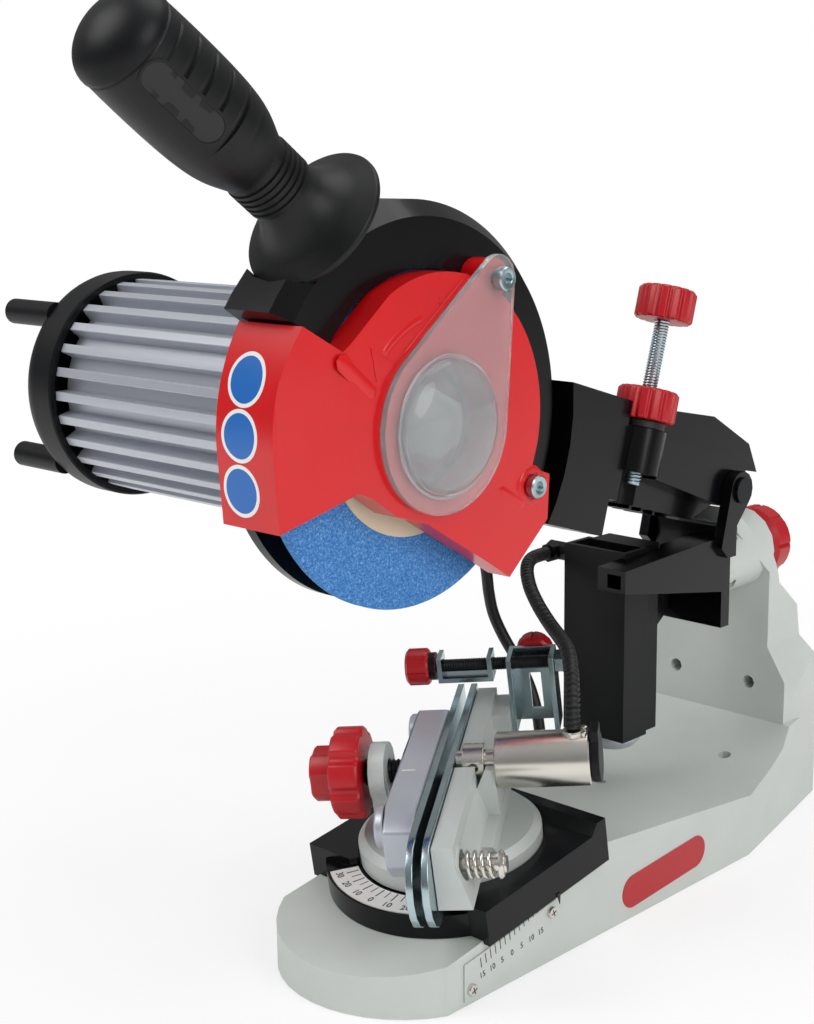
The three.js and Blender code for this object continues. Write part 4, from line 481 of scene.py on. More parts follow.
def dressed(node, width, steps):
    """A rounded copy of one solid, which then stands for it."""
    shape = bmesh.new()
    shape.from_mesh(frame["nodes"][node].data)
    bmesh.ops.remove_doubles(shape, verts=shape.verts, dist=2e-6)
    bmesh.ops.dissolve_limit(
        shape, angle_limit=math.radians(0.6), use_dissolve_boundaries=False,
        verts=shape.verts, edges=shape.edges,
    )
    if node in arcs_about:
        print(node, truly_round(shape, *arcs_about[node]), "chords rounded")
    piece = made(node + "_dressed", shape, slot_of[node], Matrix())
    soften(piece, width, steps, EDGE_LIMIT)
    tied(piece, [node], body_of_node[node], slot_of[node])


rounds = {
    "base_casting": (2.6, 4), "carriage": (1.0, 3), "vise_casting": (1.3, 3), "jaw_block": (1.4, 3),
    "rail_left": (0.4, 2), "rail_right": (0.4, 2), "stop_bracket": (0.5, 2), "stop_channel": (0.5, 2),
    "tilt_bracket": (0.9, 3), "column_housing": (0.8, 2), "column_foot": (0.6, 2), "arm_casting": (1.2, 3),
    "guard_casting": (1.0, 3), "side_cover": (1.6, 4), "mount_plate": (0.8, 2), "motor_front_ring": (0.8, 2),
    "cylinder_cap": (0.4, 2), "slide_nut": (0.8, 2), "tilt_lock_knob": (1.0, 2), "rear_stop_knob": (0.5, 2),
    "stop_knob": (0.5, 2), "hinge_pin": (0.5, 2), "slide_scale": (0.0, 0), "angle_scale": (0.0, 0),
    "rod_collar": (0.4, 2), "motor_barrel": (0.35, 2),
}
for node, (width, steps) in rounds.items():
    dressed(node, width, steps)
# The plate under the round scale is painted like the stand.
bpy.data.objects["slide_scale_dressed"].data.materials[0] = finishes["grey_paint"]
print(len(rounds), "solids dressed")

# %% [markdown]
# Round pieces are turned: an outline of radius and height goes round an axis, as on a lathe. The frame's own
# round solids have few sides to stay light, so wheel, cylinder, handle and knobs are turned again here with
# many sides. A knob's grip comes from a wave that makes the radius smaller in each flute.

# %% Turned and pressed shapes
def add_ring(shape, place, height, radii):
    """A ring of corners about a placed axis, with one radius for each corner."""
    ring = []
    for k, radius in enumerate(radii):
        angle = 2 * math.pi * k / len(radii)
        ring.append(shape.verts.new(place @ Vector((radius * math.cos(angle), radius * math.sin(angle), height))))
    return ring


def add_turned(shape, axis, outline, sides=96, wave=None, at=(0, 0, 0)):
    """Turns an outline of (radius, height) pairs; it starts and ends on the axis, or closes on itself."""
    place = Matrix.Translation(at) @ ALONG[axis]
    closed = outline[0] == outline[-1]
    rings = []
    for radius, height in outline[:-1] if closed else outline:
        if radius == 0:
            rings.append([shape.verts.new(place @ Vector((0, 0, height)))])
        else:
            waves = [wave(2 * math.pi * k / sides, radius, height) if wave else 1 for k in range(sides)]
            rings.append(add_ring(shape, place, height, [radius * share for share in waves]))
    join_rings(shape, rings + rings[:1] if closed else rings)


def add_prism(shape, axis, points, low, high, at=(0, 0, 0)):
    """A flat outline drawn out along an axis."""
    place = Matrix.Translation(at) @ ALONG[axis]
    close_rings(shape, [[shape.verts.new(place @ Vector((a, b, c))) for a, b in points] for c in (low, high)])


def add_block(shape, x0, x1, y0, y1, z0, z1):
    add_prism(shape, "Z", [(x0, y0), (x1, y0), (x1, y1), (x0, y1)], z0, z1)


def arc(a, b, radius, start, end, steps):
    """Points on a circle from one angle to another, in degrees."""
    angles = [math.radians(start + (end - start) * k / steps) for k in range(steps + 1)]
    return [(a + radius * math.cos(angle), b + radius * math.sin(angle)) for angle in angles]


def dome(radius, rise, foot, steps=16):
    """A dome's outline in (radius, height) pairs, from its foot to its top on the axis."""
    angles = [math.radians(90 * k / steps) for k in range(steps)]
    return [(radius * math.cos(angle), foot + rise * math.sin(angle)) for angle in angles] + [(0, foot + rise)]


def drawn(name, slot, draw, place):
    """An object that a function draws in its own group's millimetres."""
    shape = bmesh.new()
    draw(shape)
    bmesh.ops.recalc_face_normals(shape, faces=shape.faces)
    return made(name, shape, slot, place @ Matrix.Scale(MM, 4))


def finished(name, nodes, body, slot, place, draw, width=0.0, steps=2, limit=EDGE_LIMIT):
    """Draws a piece, places it, rounds it and lets it stand for frame nodes."""
    piece = drawn(name, slot, draw, place)
    soften(piece, width, steps, limit)
    tied(piece, nodes, body, slot)


def lathed(name, nodes, body, slot, place, axis, outline, sides=96, wave=None, at=(0, 0, 0), width=0.0,
           limit=EDGE_LIMIT):
    """A piece that is one turned outline."""
    finished(name, nodes, body, slot, place, lambda s: add_turned(s, axis, outline, sides, wave, at),
             width, limit=limit)


def fluted(count, depth, share=0.5, from_radius=0.0):
    """A wave for a knob: count hollows, each depth of the radius deep, over a share of the way round."""
    def wave(angle, radius, height):
        if radius < from_radius:
            return 1
        phase = (angle * count / (2 * math.pi)) % 1
        off = min(phase, 1 - phase) * 2 / share
        return 1 - (depth * (1 - off * off) if off < 1 else 0)
    return wave


print("turning helpers ready")

# %% Wheel and its stack
lathed("wheel_disc", ["grinding_wheel"], "spindle", "abrasive", HEAD, "X", [
    (11, -1.5), (70.7, -1.5), (71.5, -0.9), (71.5, 2.9), (70.7, 3.5), (11, 3.5), (11, -1.5)], 180)
lathed("wheel_paper", ["paper_disc"], "spindle", "paper", HEAD, "X", [
    (11, 3.8), (43.5, 3.8), (43.5, 4.6), (11, 4.6), (11, 3.8)], width=0.1)
lathed("wheel_flange", ["outer_flange"], "spindle", "steel", HEAD, "X", [
    (9.5, 4.9), (21.4, 4.9), (21.4, 6.4), (19.5, 7.9), (9.5, 7.9), (9.5, 4.9)], width=0.2)
print("wheel stack made")

# %% [markdown]
# The motor's barrel is a bare casting with long cooling fins, all alike. One fin is drawn and a small
# Geometry Nodes tree repeats it: each copy is turned and moved by its own number. The same tree serves
# the posts behind the motor and the ticks of the scales.

# %% Tree that repeats one shape
def copies_tree():
    tree = bpy.data.node_groups.new("repeated_shape", "GeometryNodeTree")
    for label, kind in (
        ("Geometry", "Geometry"), ("Count", "Int"), ("Turn", "Vector"), ("Move", "Vector"), ("Finish", "Material"),
    ):
        tree.interface.new_socket(label, in_out="INPUT", socket_type="NodeSocket" + kind)
    tree.interface.new_socket("Geometry", in_out="OUTPUT", socket_type="NodeSocketGeometry")
    given = add_node(tree, "NodeGroupInput").outputs
    row = add_node(tree, "GeometryNodeMeshLine", {"Offset": (0, 0, 0)}, {"Count": given["Count"]})
    shape = add_node(tree, "GeometryNodeInstanceOnPoints", wires={
        "Points": row.outputs["Mesh"], "Instance": given["Geometry"]}).outputs["Instances"]
    number = add_node(tree, "GeometryNodeInputIndex").outputs[0]
    for label, kind, inlet in (("Turn", "Rotate", "Rotation"), ("Move", "Translate", "Translation")):
        step = add_node(tree, "ShaderNodeVectorMath", wires={0: given[label], "Scale": number}, operation="SCALE")
        shape = add_node(tree, f"GeometryNode{kind}Instances", {"Local Space": False}, {
            "Instances": shape, inlet: step.outputs[0]}).outputs["Instances"]
    real = add_node(tree, "GeometryNodeRealizeInstances", wires={"Geometry": shape})
    paint = add_node(tree, "GeometryNodeSetMaterial", wires={
        "Geometry": real.outputs["Geometry"], "Material": given["Finish"]})
    add_node(tree, "NodeGroupOutput", wires={"Geometry": paint.outputs["Geometry"]})
    return tree


copies = copies_tree()


def repeated(name, body, slot, place, draw, count, turned=(0, 0, 0), moved=(0, 0, 0), width=0.0, start=None):
    """Repeats a drawn shape with the tree, in its group's millimetres, and places the lot."""
    piece = drawn(name, slot, draw, start or Matrix())
    if width:
        soften(piece, width, 2, EDGE_LIMIT)
    repeat = piece.modifiers.new("repeat", "NODES")
    repeat.node_group = copies
    wanted = {
        "Count": count, "Turn": tuple(math.radians(v) for v in turned), "Move": tuple(v * MM for v in moved),
        "Finish": finishes[slot],
    }
    for item in copies.interface.items_tree:
        if item.item_type == "SOCKET" and item.in_out == "INPUT" and item.name in wanted:
            repeat[item.identifier] = wanted[item.name]
    baked(piece)
    piece.data.transform(place)
    tied(piece, [], body, slot)


print("repeating tree ready")

# %% Motor barrel, its fins and the domed cover
FINS = 28
POST_REACH = 45 * math.cos(math.radians(45))
lathed("barrel_tube", ["motor_barrel"], "arm", "aluminium", HEAD, "X", [
    (36, -160), (40, -160), (40, -36.3), (36, -36.3), (36, -160)], 120, width=0.2)
repeated("barrel_fins", "arm", "aluminium", HEAD, lambda s: add_prism(s, "X", [
    (-2.1, 39.6), (2.1, 39.6), (1.9, 45.3), (1.4, 45.9), (-1.4, 45.9), (-1.9, 45.3)], -160, -36.3),
    FINS, turned=(360 / FINS, 0, 0), width=0.2)
lathed("front_ring", ["motor_front_ring"], "arm", "aluminium", HEAD, "X", [
    (8, -33), (8, -36), (44.4, -36), (46, -34.8), (46, -32.6), (45.2, -32.3), (45.2, -31.7), (46, -31.4),
    (46, -28.9), (45.4, -28.3), (15.3, -28.3), (15.3, -33), (8, -33)], 120, width=0.15)
lathed("rear_dome", ["rear_cover"], "arm", "black_plastic", HEAD, "X", [
    *reversed(dome(49, -24, -172)), (49, -161), (48.4, -160.3), (46, -160.3), *dome(46, -21, -172)], 120)
lathed("rear_carrier", [], "arm", "black_plastic", HEAD, "X", [
    (15.3, -172.3), (18, -172.3), (18, -170.3), (46.5, -170.3), (46.5, -165.3), (15.3, -165.3),
    (15.3, -172.3)], width=0.2)
repeated("rear_posts", "arm", "black_plastic", HEAD, lambda s: add_turned(s, "X", [
    (0, -207.6), (1.8, -207.6), (1.8, -209), (4.4, -209), (5.5, -207.9), (5.5, -176), (0, -176)], 40),
    4, turned=(90, 0, 0), start=shift(0, POST_REACH, POST_REACH))
print("motor made")

# %% [markdown]
# The handle is a rubbered grip on a wide flange. Its outline is drawn as a smooth line through a few
# radii: the flange flares into a narrow neck with fine rings, then the grip swells and ends in a dome.
# A plain long oval lies on its side, with a thin raised line round its edge.

# %% Handle
def smooth_outline(knots):
    """More points on a soft line through (radius, height) knots."""
    knots = [knots[0], *knots, knots[-1]]
    line = []
    for four in zip(knots, knots[1:], knots[2:], knots[3:]):
        line += [tuple(between(*values, k / 6) for values in zip(*four)) for k in range(6)]
    return line + [knots[-1]]


flare = smooth_outline([
    (28.2, 2.2), (24.4, 4.2), (20.2, 6.6), (16.8, 9.8), (14.3, 13.8), (13, 17.4), (12.5, 19.6)])
neck_rings = []
for i in range(5):
    base = 20 + i * 2.7
    neck_rings += [(12.5, base), (12.5, base + 0.7), (13.2, base + 1), (13.2, base + 2.2), (12.5, base + 2.5)]
swell = smooth_outline([
    (12.7, 33.8), (13.1, 36.6), (14.6, 40.6), (16.2, 45.2), (17.4, 50.4), (18.1, 56), (18.5, 62), (18.7, 70),
    (18.7, 80), (18.5, 90), (18.2, 98.3),
])
NOTCH_FOOT, NOTCH_TOP, NOTCH_PITCH, NOTCH_DEPTH = 50, 96, 8.6, 0.055


def finger_waves(angle, radius, height):
    """Shallow finger notches on two sides of the grip, where it is thick."""
    if not NOTCH_FOOT < height < NOTCH_TOP:
        return 1
    side = max(0.0, abs(math.cos(angle)) - 0.55) / 0.45
    notch = ((height - NOTCH_FOOT) / NOTCH_PITCH) % 1
    saw = max(0.0, 1 - notch * 3)
    fade = min(1, (height - NOTCH_FOOT) / 5, (NOTCH_TOP - height) / 5)
    return 1 - NOTCH_DEPTH * side * saw * fade


swell_fine = []
for (r0, h0), (r1, h1) in zip(swell, swell[1:]):
    swell_fine += [(r0 + (r1 - r0) * k / 3, h0 + (h1 - h0) * k / 3) for k in range(3)]
lathed("grip_body", ["handle_grip"], "arm", "grip", HANDLE, "Z", [
    (5.3, 0), (28.2, 0), (28.5, 0.5), (28.5, 1.6), *flare, *neck_rings, *swell_fine, swell[-1],
    (17.8, 98.8), (5.3, 98.8), (5.3, 0)], 120, finger_waves, limit=40)
lathed("grip_dome", ["handle_cap"], "arm", "black_plastic", HANDLE, "Z", [
    (0, 98.9), (18, 98.9), (18.5, 99.6), *dome(18.5, 12.1, 99.9)[1:-1], (0, 112.1)], limit=50)
print("handle made")

# %% Red knobs
DEPTH_LINE, CLAMP_LINE, STOP_LINE = (12.5, -70, 0), (0, 0, 35), (0, 60, 53.5)
lathed("depth_knob_cap", ["depth_knob"], "depth", "red_plastic", ARM, "Z", [
    (3.6, 62), (11.6, 62), (12.5, 63), (12.5, 74.6), (11.2, 76), (8.6, 76), (8, 75.2), (3.6, 75.2), (3.6, 62)],
    225, fluted(15, 0.075, 0.42, 11), DEPTH_LINE, limit=50)
lathed("depth_knob_face", [], "depth", "red_plastic", ARM, "Z", [
    (0, 69.2), (7.9, 69.2), (7.9, 75), (0, 75)], 64, at=DEPTH_LINE, width=0.2)
lathed("lock_knob_ring", ["lock_knob"], "depth_lock", "red_plastic", ARM, "Z", [
    (4.6, 18.8), (12.2, 18.8), (13.2, 19.8), (13.2, 31), (11.9, 32.3), (7.2, 32.3), (6.8, 31.6), (4.6, 31.6),
    (4.6, 18.8)], 225, fluted(15, 0.07, 0.42, 11), DEPTH_LINE, limit=50)
lathed("lock_washer_ring", ["lock_washer"], "arm", "rubber", ARM, "Z", [
    (4.5, 15.3), (9.5, 15.3), (9.5, 18.5), (4.5, 18.5), (4.5, 15.3)], 64, at=DEPTH_LINE, width=0.3)


def clamp_knob_shape(s):
    add_turned(s, "X", [
        (5.3, -31), (17.4, -31), (18.6, -32.2), (18.6, -41.8), (17.4, -43), (5.3, -43), (5.3, -31)],
        192, fluted(8, 0.10, 0.4, 12), CLAMP_LINE)
    add_turned(s, "X", [
        (0, -51.8), (5.3, -51.8), (5.3, -40), (11.2, -40), (11.2, -51.2), (10.1, -52.5), (0, -52.5)],
        96, fluted(4, 0.13, 0.5, 9), CLAMP_LINE)


finished("clamp_knob_star", ["clamp_knob"], "clamp", "red_plastic", VISE, clamp_knob_shape, limit=45)
lathed("clamp_knob_plug", [], "clamp", "black_plastic", VISE, "X", [
    (0, -52.45), (8.6, -52.45), (8.9, -52.2), (8.9, -51.4), (0, -51.4)], 64, at=CLAMP_LINE)
lathed("stop_knob_cap", ["stop_knob"], "stop_adjuster", "red_plastic", VISE, "X", [
    (0, -22), (6.6, -22), (8, -20.8), (8, -13.1), (7, -12), (3.1, -12), (3.1, -17), (0, -17)],
    160, fluted(8, 0.10, 0.45, 7), STOP_LINE, limit=45)
lathed("stop_knob_collar", [], "stop_adjuster", "black_plastic", VISE, "X", [
    (3.1, -12), (6, -12), (6, -9), (3.1, -9), (3.1, -12)], 64, at=STOP_LINE, width=0.3)
print("knobs made")

# %% [markdown]
# The hydraulic clamp is bright turned steel: a cylinder with two clips beside its port, and its rod.
# Screw threads are one ridge that winds round a core, so the radius of the turned core follows an angle
# that grows with the height. The spring is a tube along a helix.

# %% Threads and screws
def add_thread(shape, axis, core, crest, low, high, pitch, at):
    """A threaded rod: the radius rises to a crest once for each turn of pitch millimetres."""
    steps, sides = max(2, round((high - low) / pitch * 8)), 24
    place = Matrix.Translation(at) @ ALONG[axis]
    rings = []
    for i in range(steps + 1):
        height = low + (high - low) * i / steps
        fade = min(1, (height - low) / pitch, (high - height) / pitch)
        phases = [(height / pitch - k / sides) % 1 for k in range(sides)]
        radii = [core + (crest - core) * fade * (1 - abs(2 * phase - 1)) for phase in phases]
        rings.append(add_ring(shape, place, height, radii))
    close_rings(shape, rings)


def socket_screw(name, nodes, low, at):
    """A cap screw of the head: a round head with a sunk socket, and a shank that reaches into the cover."""
    high = low + 4
    lathed(name, nodes, "arm", "zinc", HEAD, "X", [
        (0, 6.6), (2.6, 6.6), (2.6, low), (4.6, low), (4.6, high - 0.5), (4.1, high),
        (4.6 * 0.62, high), (2.3, high - 0.3), (2.3, high - 1.8), (0, high - 1.8)], 48, at=at)


print("threads and screws ready")

# %% Clamp screws, cylinder and guide bolt
PISTON_LINE, GUIDE_LINE = (0, 0, 38.5), (0, -60, 27)


def cylinder_shape(s):
    add_turned(s, "X", [
        (4.5, 22.8), (10.6, 22.8), (11.2, 23.4), (11.2, 59.7), (10.7, 60.3), (8.2, 60.3), (8.2, 25.8),
        (4.5, 25.8), (4.5, 22.8)], 120, at=PISTON_LINE)
    add_turned(s, "Z", [(0, 48.5), (4.4, 48.5), (4.4, 50.4), (3.9, 50.9), (0, 50.9)], 48, at=(54, 0, 0))


def depth_screw_shape(s):
    add_thread(s, "Z", 3.55, 4.2, -9, 16, 1.4, DEPTH_LINE)
    add_thread(s, "Z", 2.85, 3.3, 15.7, 69, 1.2, DEPTH_LINE)


finished("cylinder_tube", ["cylinder_body"], "vise", "steel", VISE, cylinder_shape)
lathed("rod_shaft", ["piston_rod"], "right_jaw", "steel", VISE, "X", [
    (0, 6.7), (4.2, 6.7), (4.2, 41.5), (7.9, 41.5), (7.9, 47.5), (0, 47.5)], 64, at=PISTON_LINE, width=0.15)
repeated("port_clips", "vise", "steel", VISE, lambda s: add_turned(s, "Z", [
    (0, 49.2), (1.2, 49.2), (1.2, 50.6), (0.8, 50.9), (0, 50.9)], 24, at=(58.2, -2.6, 0)), 2, moved=(0, 5.2, 0))
finished("clamp_screw_thread", ["clamp_screw"], "clamp", "dark_steel", VISE, lambda s: add_thread(
    s, "X", 4.3, 5, -48.2, -10.6, 1.9, CLAMP_LINE), limit=50)
finished("depth_screw_thread", ["depth_screw"], "depth", "zinc", ARM, depth_screw_shape, limit=50)
finished("stop_screw_rod", ["stop_screw"], "stop_adjuster", "dark_steel", VISE, lambda s: add_thread(
    s, "X", 2.5, 2.8, -17, 51.7, 1.1, STOP_LINE), limit=50)
lathed("guide_bolt_head", ["guide_bolt"], "right_jaw", "steel", VISE, "X", [
    (0, 6.7), (2.6, 6.7), (2.6, 29.8), (5.4, 29.8), (5.4, 30.4), (4.4, 31.4), (3.2, 31.6), (3.2, 32.4),
    (0, 32.4)], 64, at=GUIDE_LINE)
coil = []
for i in range(4 * 40 + 1):
    angle = 2 * math.pi * i / 40
    wound = Vector((17.2 + 2.7 * i / 40, 4.6 * math.cos(angle), 4.6 * math.sin(angle)))
    coil.append(VISE @ ((wound + Vector(GUIDE_LINE)) * MM))
spring = add_tube("guide_spring_coil", coil, [0.00075] * len(coil), 14, "right_jaw")
spring.data.materials.append(finishes["steel"])
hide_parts("guide_spring")
print("clamp metal made, spring of", len(coil), "points")

# %% [markdown]
# The clear guard is a moulded teardrop with a dome over the wheel's nut. Its outline is two arcs joined by
# straight tangents. The plate and the dome are separate closed shells, as the dome is a raised lens.

# %% Clear guard and the socket screws
SCREW_REACH, LENS_RADIUS, TIP_RADIUS = 59.5, 33, 9
tip = (SCREW_REACH * math.sin(math.radians(28.5)), SCREW_REACH * math.sin(math.radians(61.5)))
rear = (SCREW_REACH * math.cos(math.radians(-30.5)), SCREW_REACH * math.sin(math.radians(-30.5)))
lean = math.degrees(math.atan2(tip[1], tip[0]))
opening = math.degrees(math.acos((LENS_RADIUS - TIP_RADIUS) / math.hypot(*tip)))


def clear_guard_shape(s):
    large = arc(0, 0, LENS_RADIUS, lean + opening, lean + 360 - opening, 72)
    add_prism(s, "X", large + arc(*tip, TIP_RADIUS, lean - opening, lean + opening, 20), 19.6, 22.6)
    add_turned(s, "X", [(0, 22.2), (24.9, 22.2), *dome(25.3, 8.4, 23.2, 12)])


finished("guard_lens", ["clear_guard"], "clear_shield", "clear", HEAD, clear_guard_shape, 0.5, 3)
lathed("guard_rim", [], "clear_shield", "clear", HEAD, "X", [
    (25.5, 22.75), (27, 22.75), (26.8, 23.3), (26.2, 23.6), (25.7, 23.3), (25.5, 22.75)])
socket_screw("guard_socket_screw", ["guard_screw"], 22.9, (0, *tip))
socket_screw("cover_socket_screw", ["cover_screw"], 19.3, (0, *rear))
print("guard and screws made")

# %% [markdown]
# Small printed and moulded details lie on curved or sloped skins. Each one is drawn flat, as rings of
# points, and laid on its skin by a short function that gives the skin's place under a flat point. The
# round stickers are plain blue discs with a white rim, and the badge is a plain red pill.

# %% Laying a flat drawing on a skin
def add_patch(shape, rings, skin, low, high):
    """A thin closed patch: rings of flat points, from inside to outside, laid on a skin."""
    under, over = (
        [[shape.verts.new(skin(u, v, level)) for u, v in ring] for ring in rings] for level in (low, high)
    )
    round_about = under + over[::-1]
    if len(rings[0]) > 1:
        round_about.append(under[0])
    join_rings(shape, round_about)


def disc_rings(radius, steps=8, sides=64, inner=0.0):
    """Rings of a disc, or of a hoop when it has an inner radius."""
    rings = [] if inner else [[(0.0, 0.0)]]
    for i in range(0 if inner else 1, steps + 1):
        rings.append(arc(0, 0, inner + (radius - inner) * i / steps, 0, 360, sides)[:-1])
    return rings


def pill_points(half, radius, sides=64):
    """A stadium: two half circles, half millimetres either side of the middle."""
    points = []
    for k in range(sides):
        angle = 2 * math.pi * (k + 0.5) / sides - math.pi / 2
        middle = half if math.cos(angle) > 0 else -half
        points.append((middle + radius * math.cos(angle), radius * math.sin(angle)))
    return points


print("patch helpers ready")

# %% Three round stickers on the cover's nose
NOSE_RADIUS = 75
NOSE_END = -1.5  # height below which the nose is flat


def nose_skin(across, height):
    """The cover's nose is a cylinder about the wheel's axis that ends in a flat face below."""
    def place(u, v, level):
        lift = height + v
        if lift < NOSE_END:
            return Vector((across + u, -NOSE_RADIUS - (lift - NOSE_END) * 0.0692 - level, lift))
        depth = -math.sqrt(NOSE_RADIUS * NOSE_RADIUS - lift * lift)
        grown = (NOSE_RADIUS + level) / NOSE_RADIUS
        return Vector((across + u, depth * grown, lift * grown))
    return place


for number, (across, height) in enumerate(((-6.4, 22.4), (-7.4, 2.9), (-8.2, -16.8))):
    for part, slot, rings, top in (
        ("rim", "white_line", disc_rings(9.5, 3, 72, inner=8.1), 0.16),
        ("blue", "label_blue", disc_rings(8.15), 0.12),
    ):
        finished(f"sticker_{part}_{number}", [], "arm", slot, HEAD, lambda s, rings=rings, top=top: add_patch(
            s, rings, nose_skin(across, height), -0.2, top))
print("three stickers laid")

# %% Ridges and the turning arrow on the red cover
RIDGE_FOOT, RIDGE_TOP = 18.6, 19.4


def add_ridge(shape, points, half, top=RIDGE_TOP):
    """A ridge with sloped sides along a line on the cover's face."""
    rise = top - RIDGE_FOOT
    rows = []
    for k, point in enumerate(points):
        a = Vector(points[max(k - 1, 0)])
        b = Vector(points[min(k + 1, len(points) - 1)])
        side = (b - a).normalized().orthogonal() * half
        fade = 0.35 if k in (0, len(points) - 1) else 1
        row = []
        for share, part in ((-1, 0), (-0.55, 0.75), (-0.2, 1), (0.2, 1), (0.55, 0.75), (1, 0)):
            place = Vector(point) + side * share * fade
            row.append(shape.verts.new((RIDGE_FOOT + rise * part * fade, place.x, place.y)))
        rows.append(row)
    close_rings(shape, rows)


def line(start, end):
    return [tuple(Vector(start).lerp(Vector(end), k / 10)) for k in range(11)]


def ridges_shape(s):
    add_ridge(s, line((-51.5, 30), (-33.6, 14.6)), 3.4)
    add_ridge(s, line((31.5, -28.4), (47.5, -37.5)), 2.6)
    add_ridge(s, line((14.5, 54.6), (-20.6, 27.4)), 0.9, 19.35)
    add_ridge(s, arc(0, 0, 41.4, 103, 136, 24), 2.3)


finished("cover_ridges", [], "arm", "red_paint", HEAD, ridges_shape, limit=60)
finished("cover_arrow_head", [], "arm", "red_paint", HEAD, lambda s: add_prism(
    s, "X", [(-36.4, 32.2), (-23.6, 24.6), (-33.6, 19.4)], 18.5, RIDGE_TOP), 0.3)
lathed("cover_boss", [], "arm", "red_paint", HEAD, "X", [
    (5.4, 18.5), (8.2, 18.5), (7.6, 19.2), (7, RIDGE_TOP), (5.4, RIDGE_TOP), (5.4, 18.5)], 64, at=(0, *rear))
print("cover details made")

# %% [markdown]
# Both scales are black ticks on pale plates. A tick is one small block, and the repeating tree makes the
# row: by turning for the round scale, by moving for the straight one. The figures are flat letters of
# Blender's own font, turned into mesh.

# %% Figures
def add_figure(shape, text, size, place):
    """Flat figures, drawn a hair thick, in a group's millimetres."""
    curve = bpy.data.curves.new("figure", "FONT")
    curve.body = text
    curve.size = size
    curve.align_x = "CENTER"
    curve.align_y = "CENTER"
    curve.extrude = 0.06
    curve.resolution_u = 3
    holder = linked("figure", curve)
    bpy.context.view_layer.update()
    mesh = bpy.data.meshes.new_from_object(holder.evaluated_get(bpy.context.evaluated_depsgraph_get()))
    mesh.transform(place)
    shape.from_mesh(mesh)
    bpy.data.objects.remove(holder)
    bpy.data.curves.remove(curve)
    bpy.data.meshes.remove(mesh)


# %% Round scale under the vise
def round_figures(s):
    for degrees in range(-30, 31, 10):
        place = turn("Z", degrees) @ Matrix.Translation((0, -47.4, 0.2))
        add_figure(s, str(abs(degrees)), 4.2, place)


repeated("round_ticks", "carriage", "ink", SLIDE, lambda s: add_block(
    s, -0.16, 0.16, -43.6, -39.5, 0.1, 0.26), 15, turned=(0, 0, 5), start=turn("Z", -35))
repeated("round_long_ticks", "carriage", "ink", SLIDE, lambda s: add_block(
    s, -0.2, 0.2, -44.6, -39.5, 0.1, 0.27), 7, turned=(0, 0, 10), start=turn("Z", -30))
finished("round_figures", [], "carriage", "ink", SLIDE, round_figures)
print("round scale marked")

# %% Straight scale on the stand's side, its pointer and its screws
SIDE_SCALE = MACHINE @ shift(0, 0, 28) @ turn("X", SLIDE_ANGLE)
SLOPE = math.radians(SLIDE_ANGLE)


def side_figures(s):
    for k in range(7):
        place = Matrix.Translation((45.9, -35.5 + k * 5.8, -12.6)) @ ALONG["X"]
        add_figure(s, str(abs(5 * k - 15)), 3.4, place)


repeated("side_ticks", "stand", "ink", SIDE_SCALE, lambda s: add_block(
    s, 45.7, 45.97, -35.66, -35.34, -9.4, -5.2), 13, moved=(0, 2.9 * math.cos(SLOPE), 2.9 * math.sin(SLOPE)))
finished("side_figures", [], "stand", "ink", SIDE_SCALE, side_figures)
finished("scale_pointer", [], "carriage", "ink", SLIDE, lambda s: add_prism(
    s, "X", [(7.2, -14.4), (8.3, -9.6), (6.1, -9.6)], 48.6, 49), 0.05)


def cross_shape(s, at):
    """Painted shade of the cross recess in a screw's head: two dark bars, wider at their ends, that cross."""
    for turned in (20, 110):
        ends = arc(0, 0, 1.5, turned - 9, turned + 9, 3) + arc(0, 0, 1.5, turned + 171, turned + 189, 3)
        add_prism(s, "X", ends, 47.5, 47.63, at)


for side, along, drop in (("front", -39.4, 15.4), ("rear", 7.4, 7.6)):
    at = (0, along, 28 + along * math.tan(SLOPE) - drop)
    lathed(f"scale_screw_head_{side}", [f"scale_screw_{side}"], "stand", "steel", MACHINE, "X", [
        (0, 45.8), (2.4, 45.8), (2.4, 46.9), (2.1, 47.4), (1.5, 47.6), (0, 47.6)], 40, at=at)
    # The dark cross on each head is painted shade. It stands for the shade in the screw's cross recess, which is
    # not cut into the head.
    finished(f"scale_screw_recess_shade_{side}", [], "stand", "ink", MACHINE, lambda s, at=at: cross_shape(s, at))
print("side scale marked")


# %% Badge and index line
def flank_skin(u, v, level):
    """The stand's flat side, turned a little so that the badge follows its upper edge."""
    tilt = math.radians(4.2)
    y = 84.6 + u * math.cos(tilt) - v * math.sin(tilt)
    z = 13.4 + u * math.sin(tilt) + v * math.cos(tilt)
    return Vector((45.1 + level, y, z))


outline = pill_points(22.4, 7.2, 48)
finished("side_badge", [], "stand", "badge_red", MACHINE, lambda s: add_patch(
    s, [[(0.0, 0.0)], [(u * 0.5, v * 0.5) for u, v in outline], outline], flank_skin, -0.2, 0.25))
finished("jaw_index", [], "left_jaw", "white_line", VISE, lambda s: add_block(
    s, -13.6, -8.2, -12.4, -11.9, 41.3, 41.62))
print("badge and index line laid")


# %% Raised oval on the grip
def grip_radius(height):
    for (r0, h0), (r1, h1) in zip(swell, swell[1:]):
        if h0 <= height <= h1:
            return r0 + (r1 - r0) * (height - h0) / (h1 - h0)
    return swell[-1][0]


def grip_skin(u, v, level):
    """The grip's side, about 79.5 mm up, seen from the photograph's side."""
    height = 79.5 + u
    radius = grip_radius(height) + level
    angle = math.radians(-31) + v / 18.5
    return Vector((radius * math.cos(angle), radius * math.sin(angle), height))


finished("grip_oval_rim", [], "arm", "grip", HANDLE, lambda s: add_patch(
    s, [pill_points(12.5, radius) for radius in (5.2, 5.7, 6.2)], grip_skin, -0.3, 0.28), limit=50)
finished("grip_oval_face", [], "arm", "rubber", HANDLE, lambda s: add_patch(
    s, [[(0.0, 0.0)], pill_points(6, 2.4), pill_points(12.5, 5.25)], grip_skin, -0.3, 0.06), limit=50)
print("grip oval made")

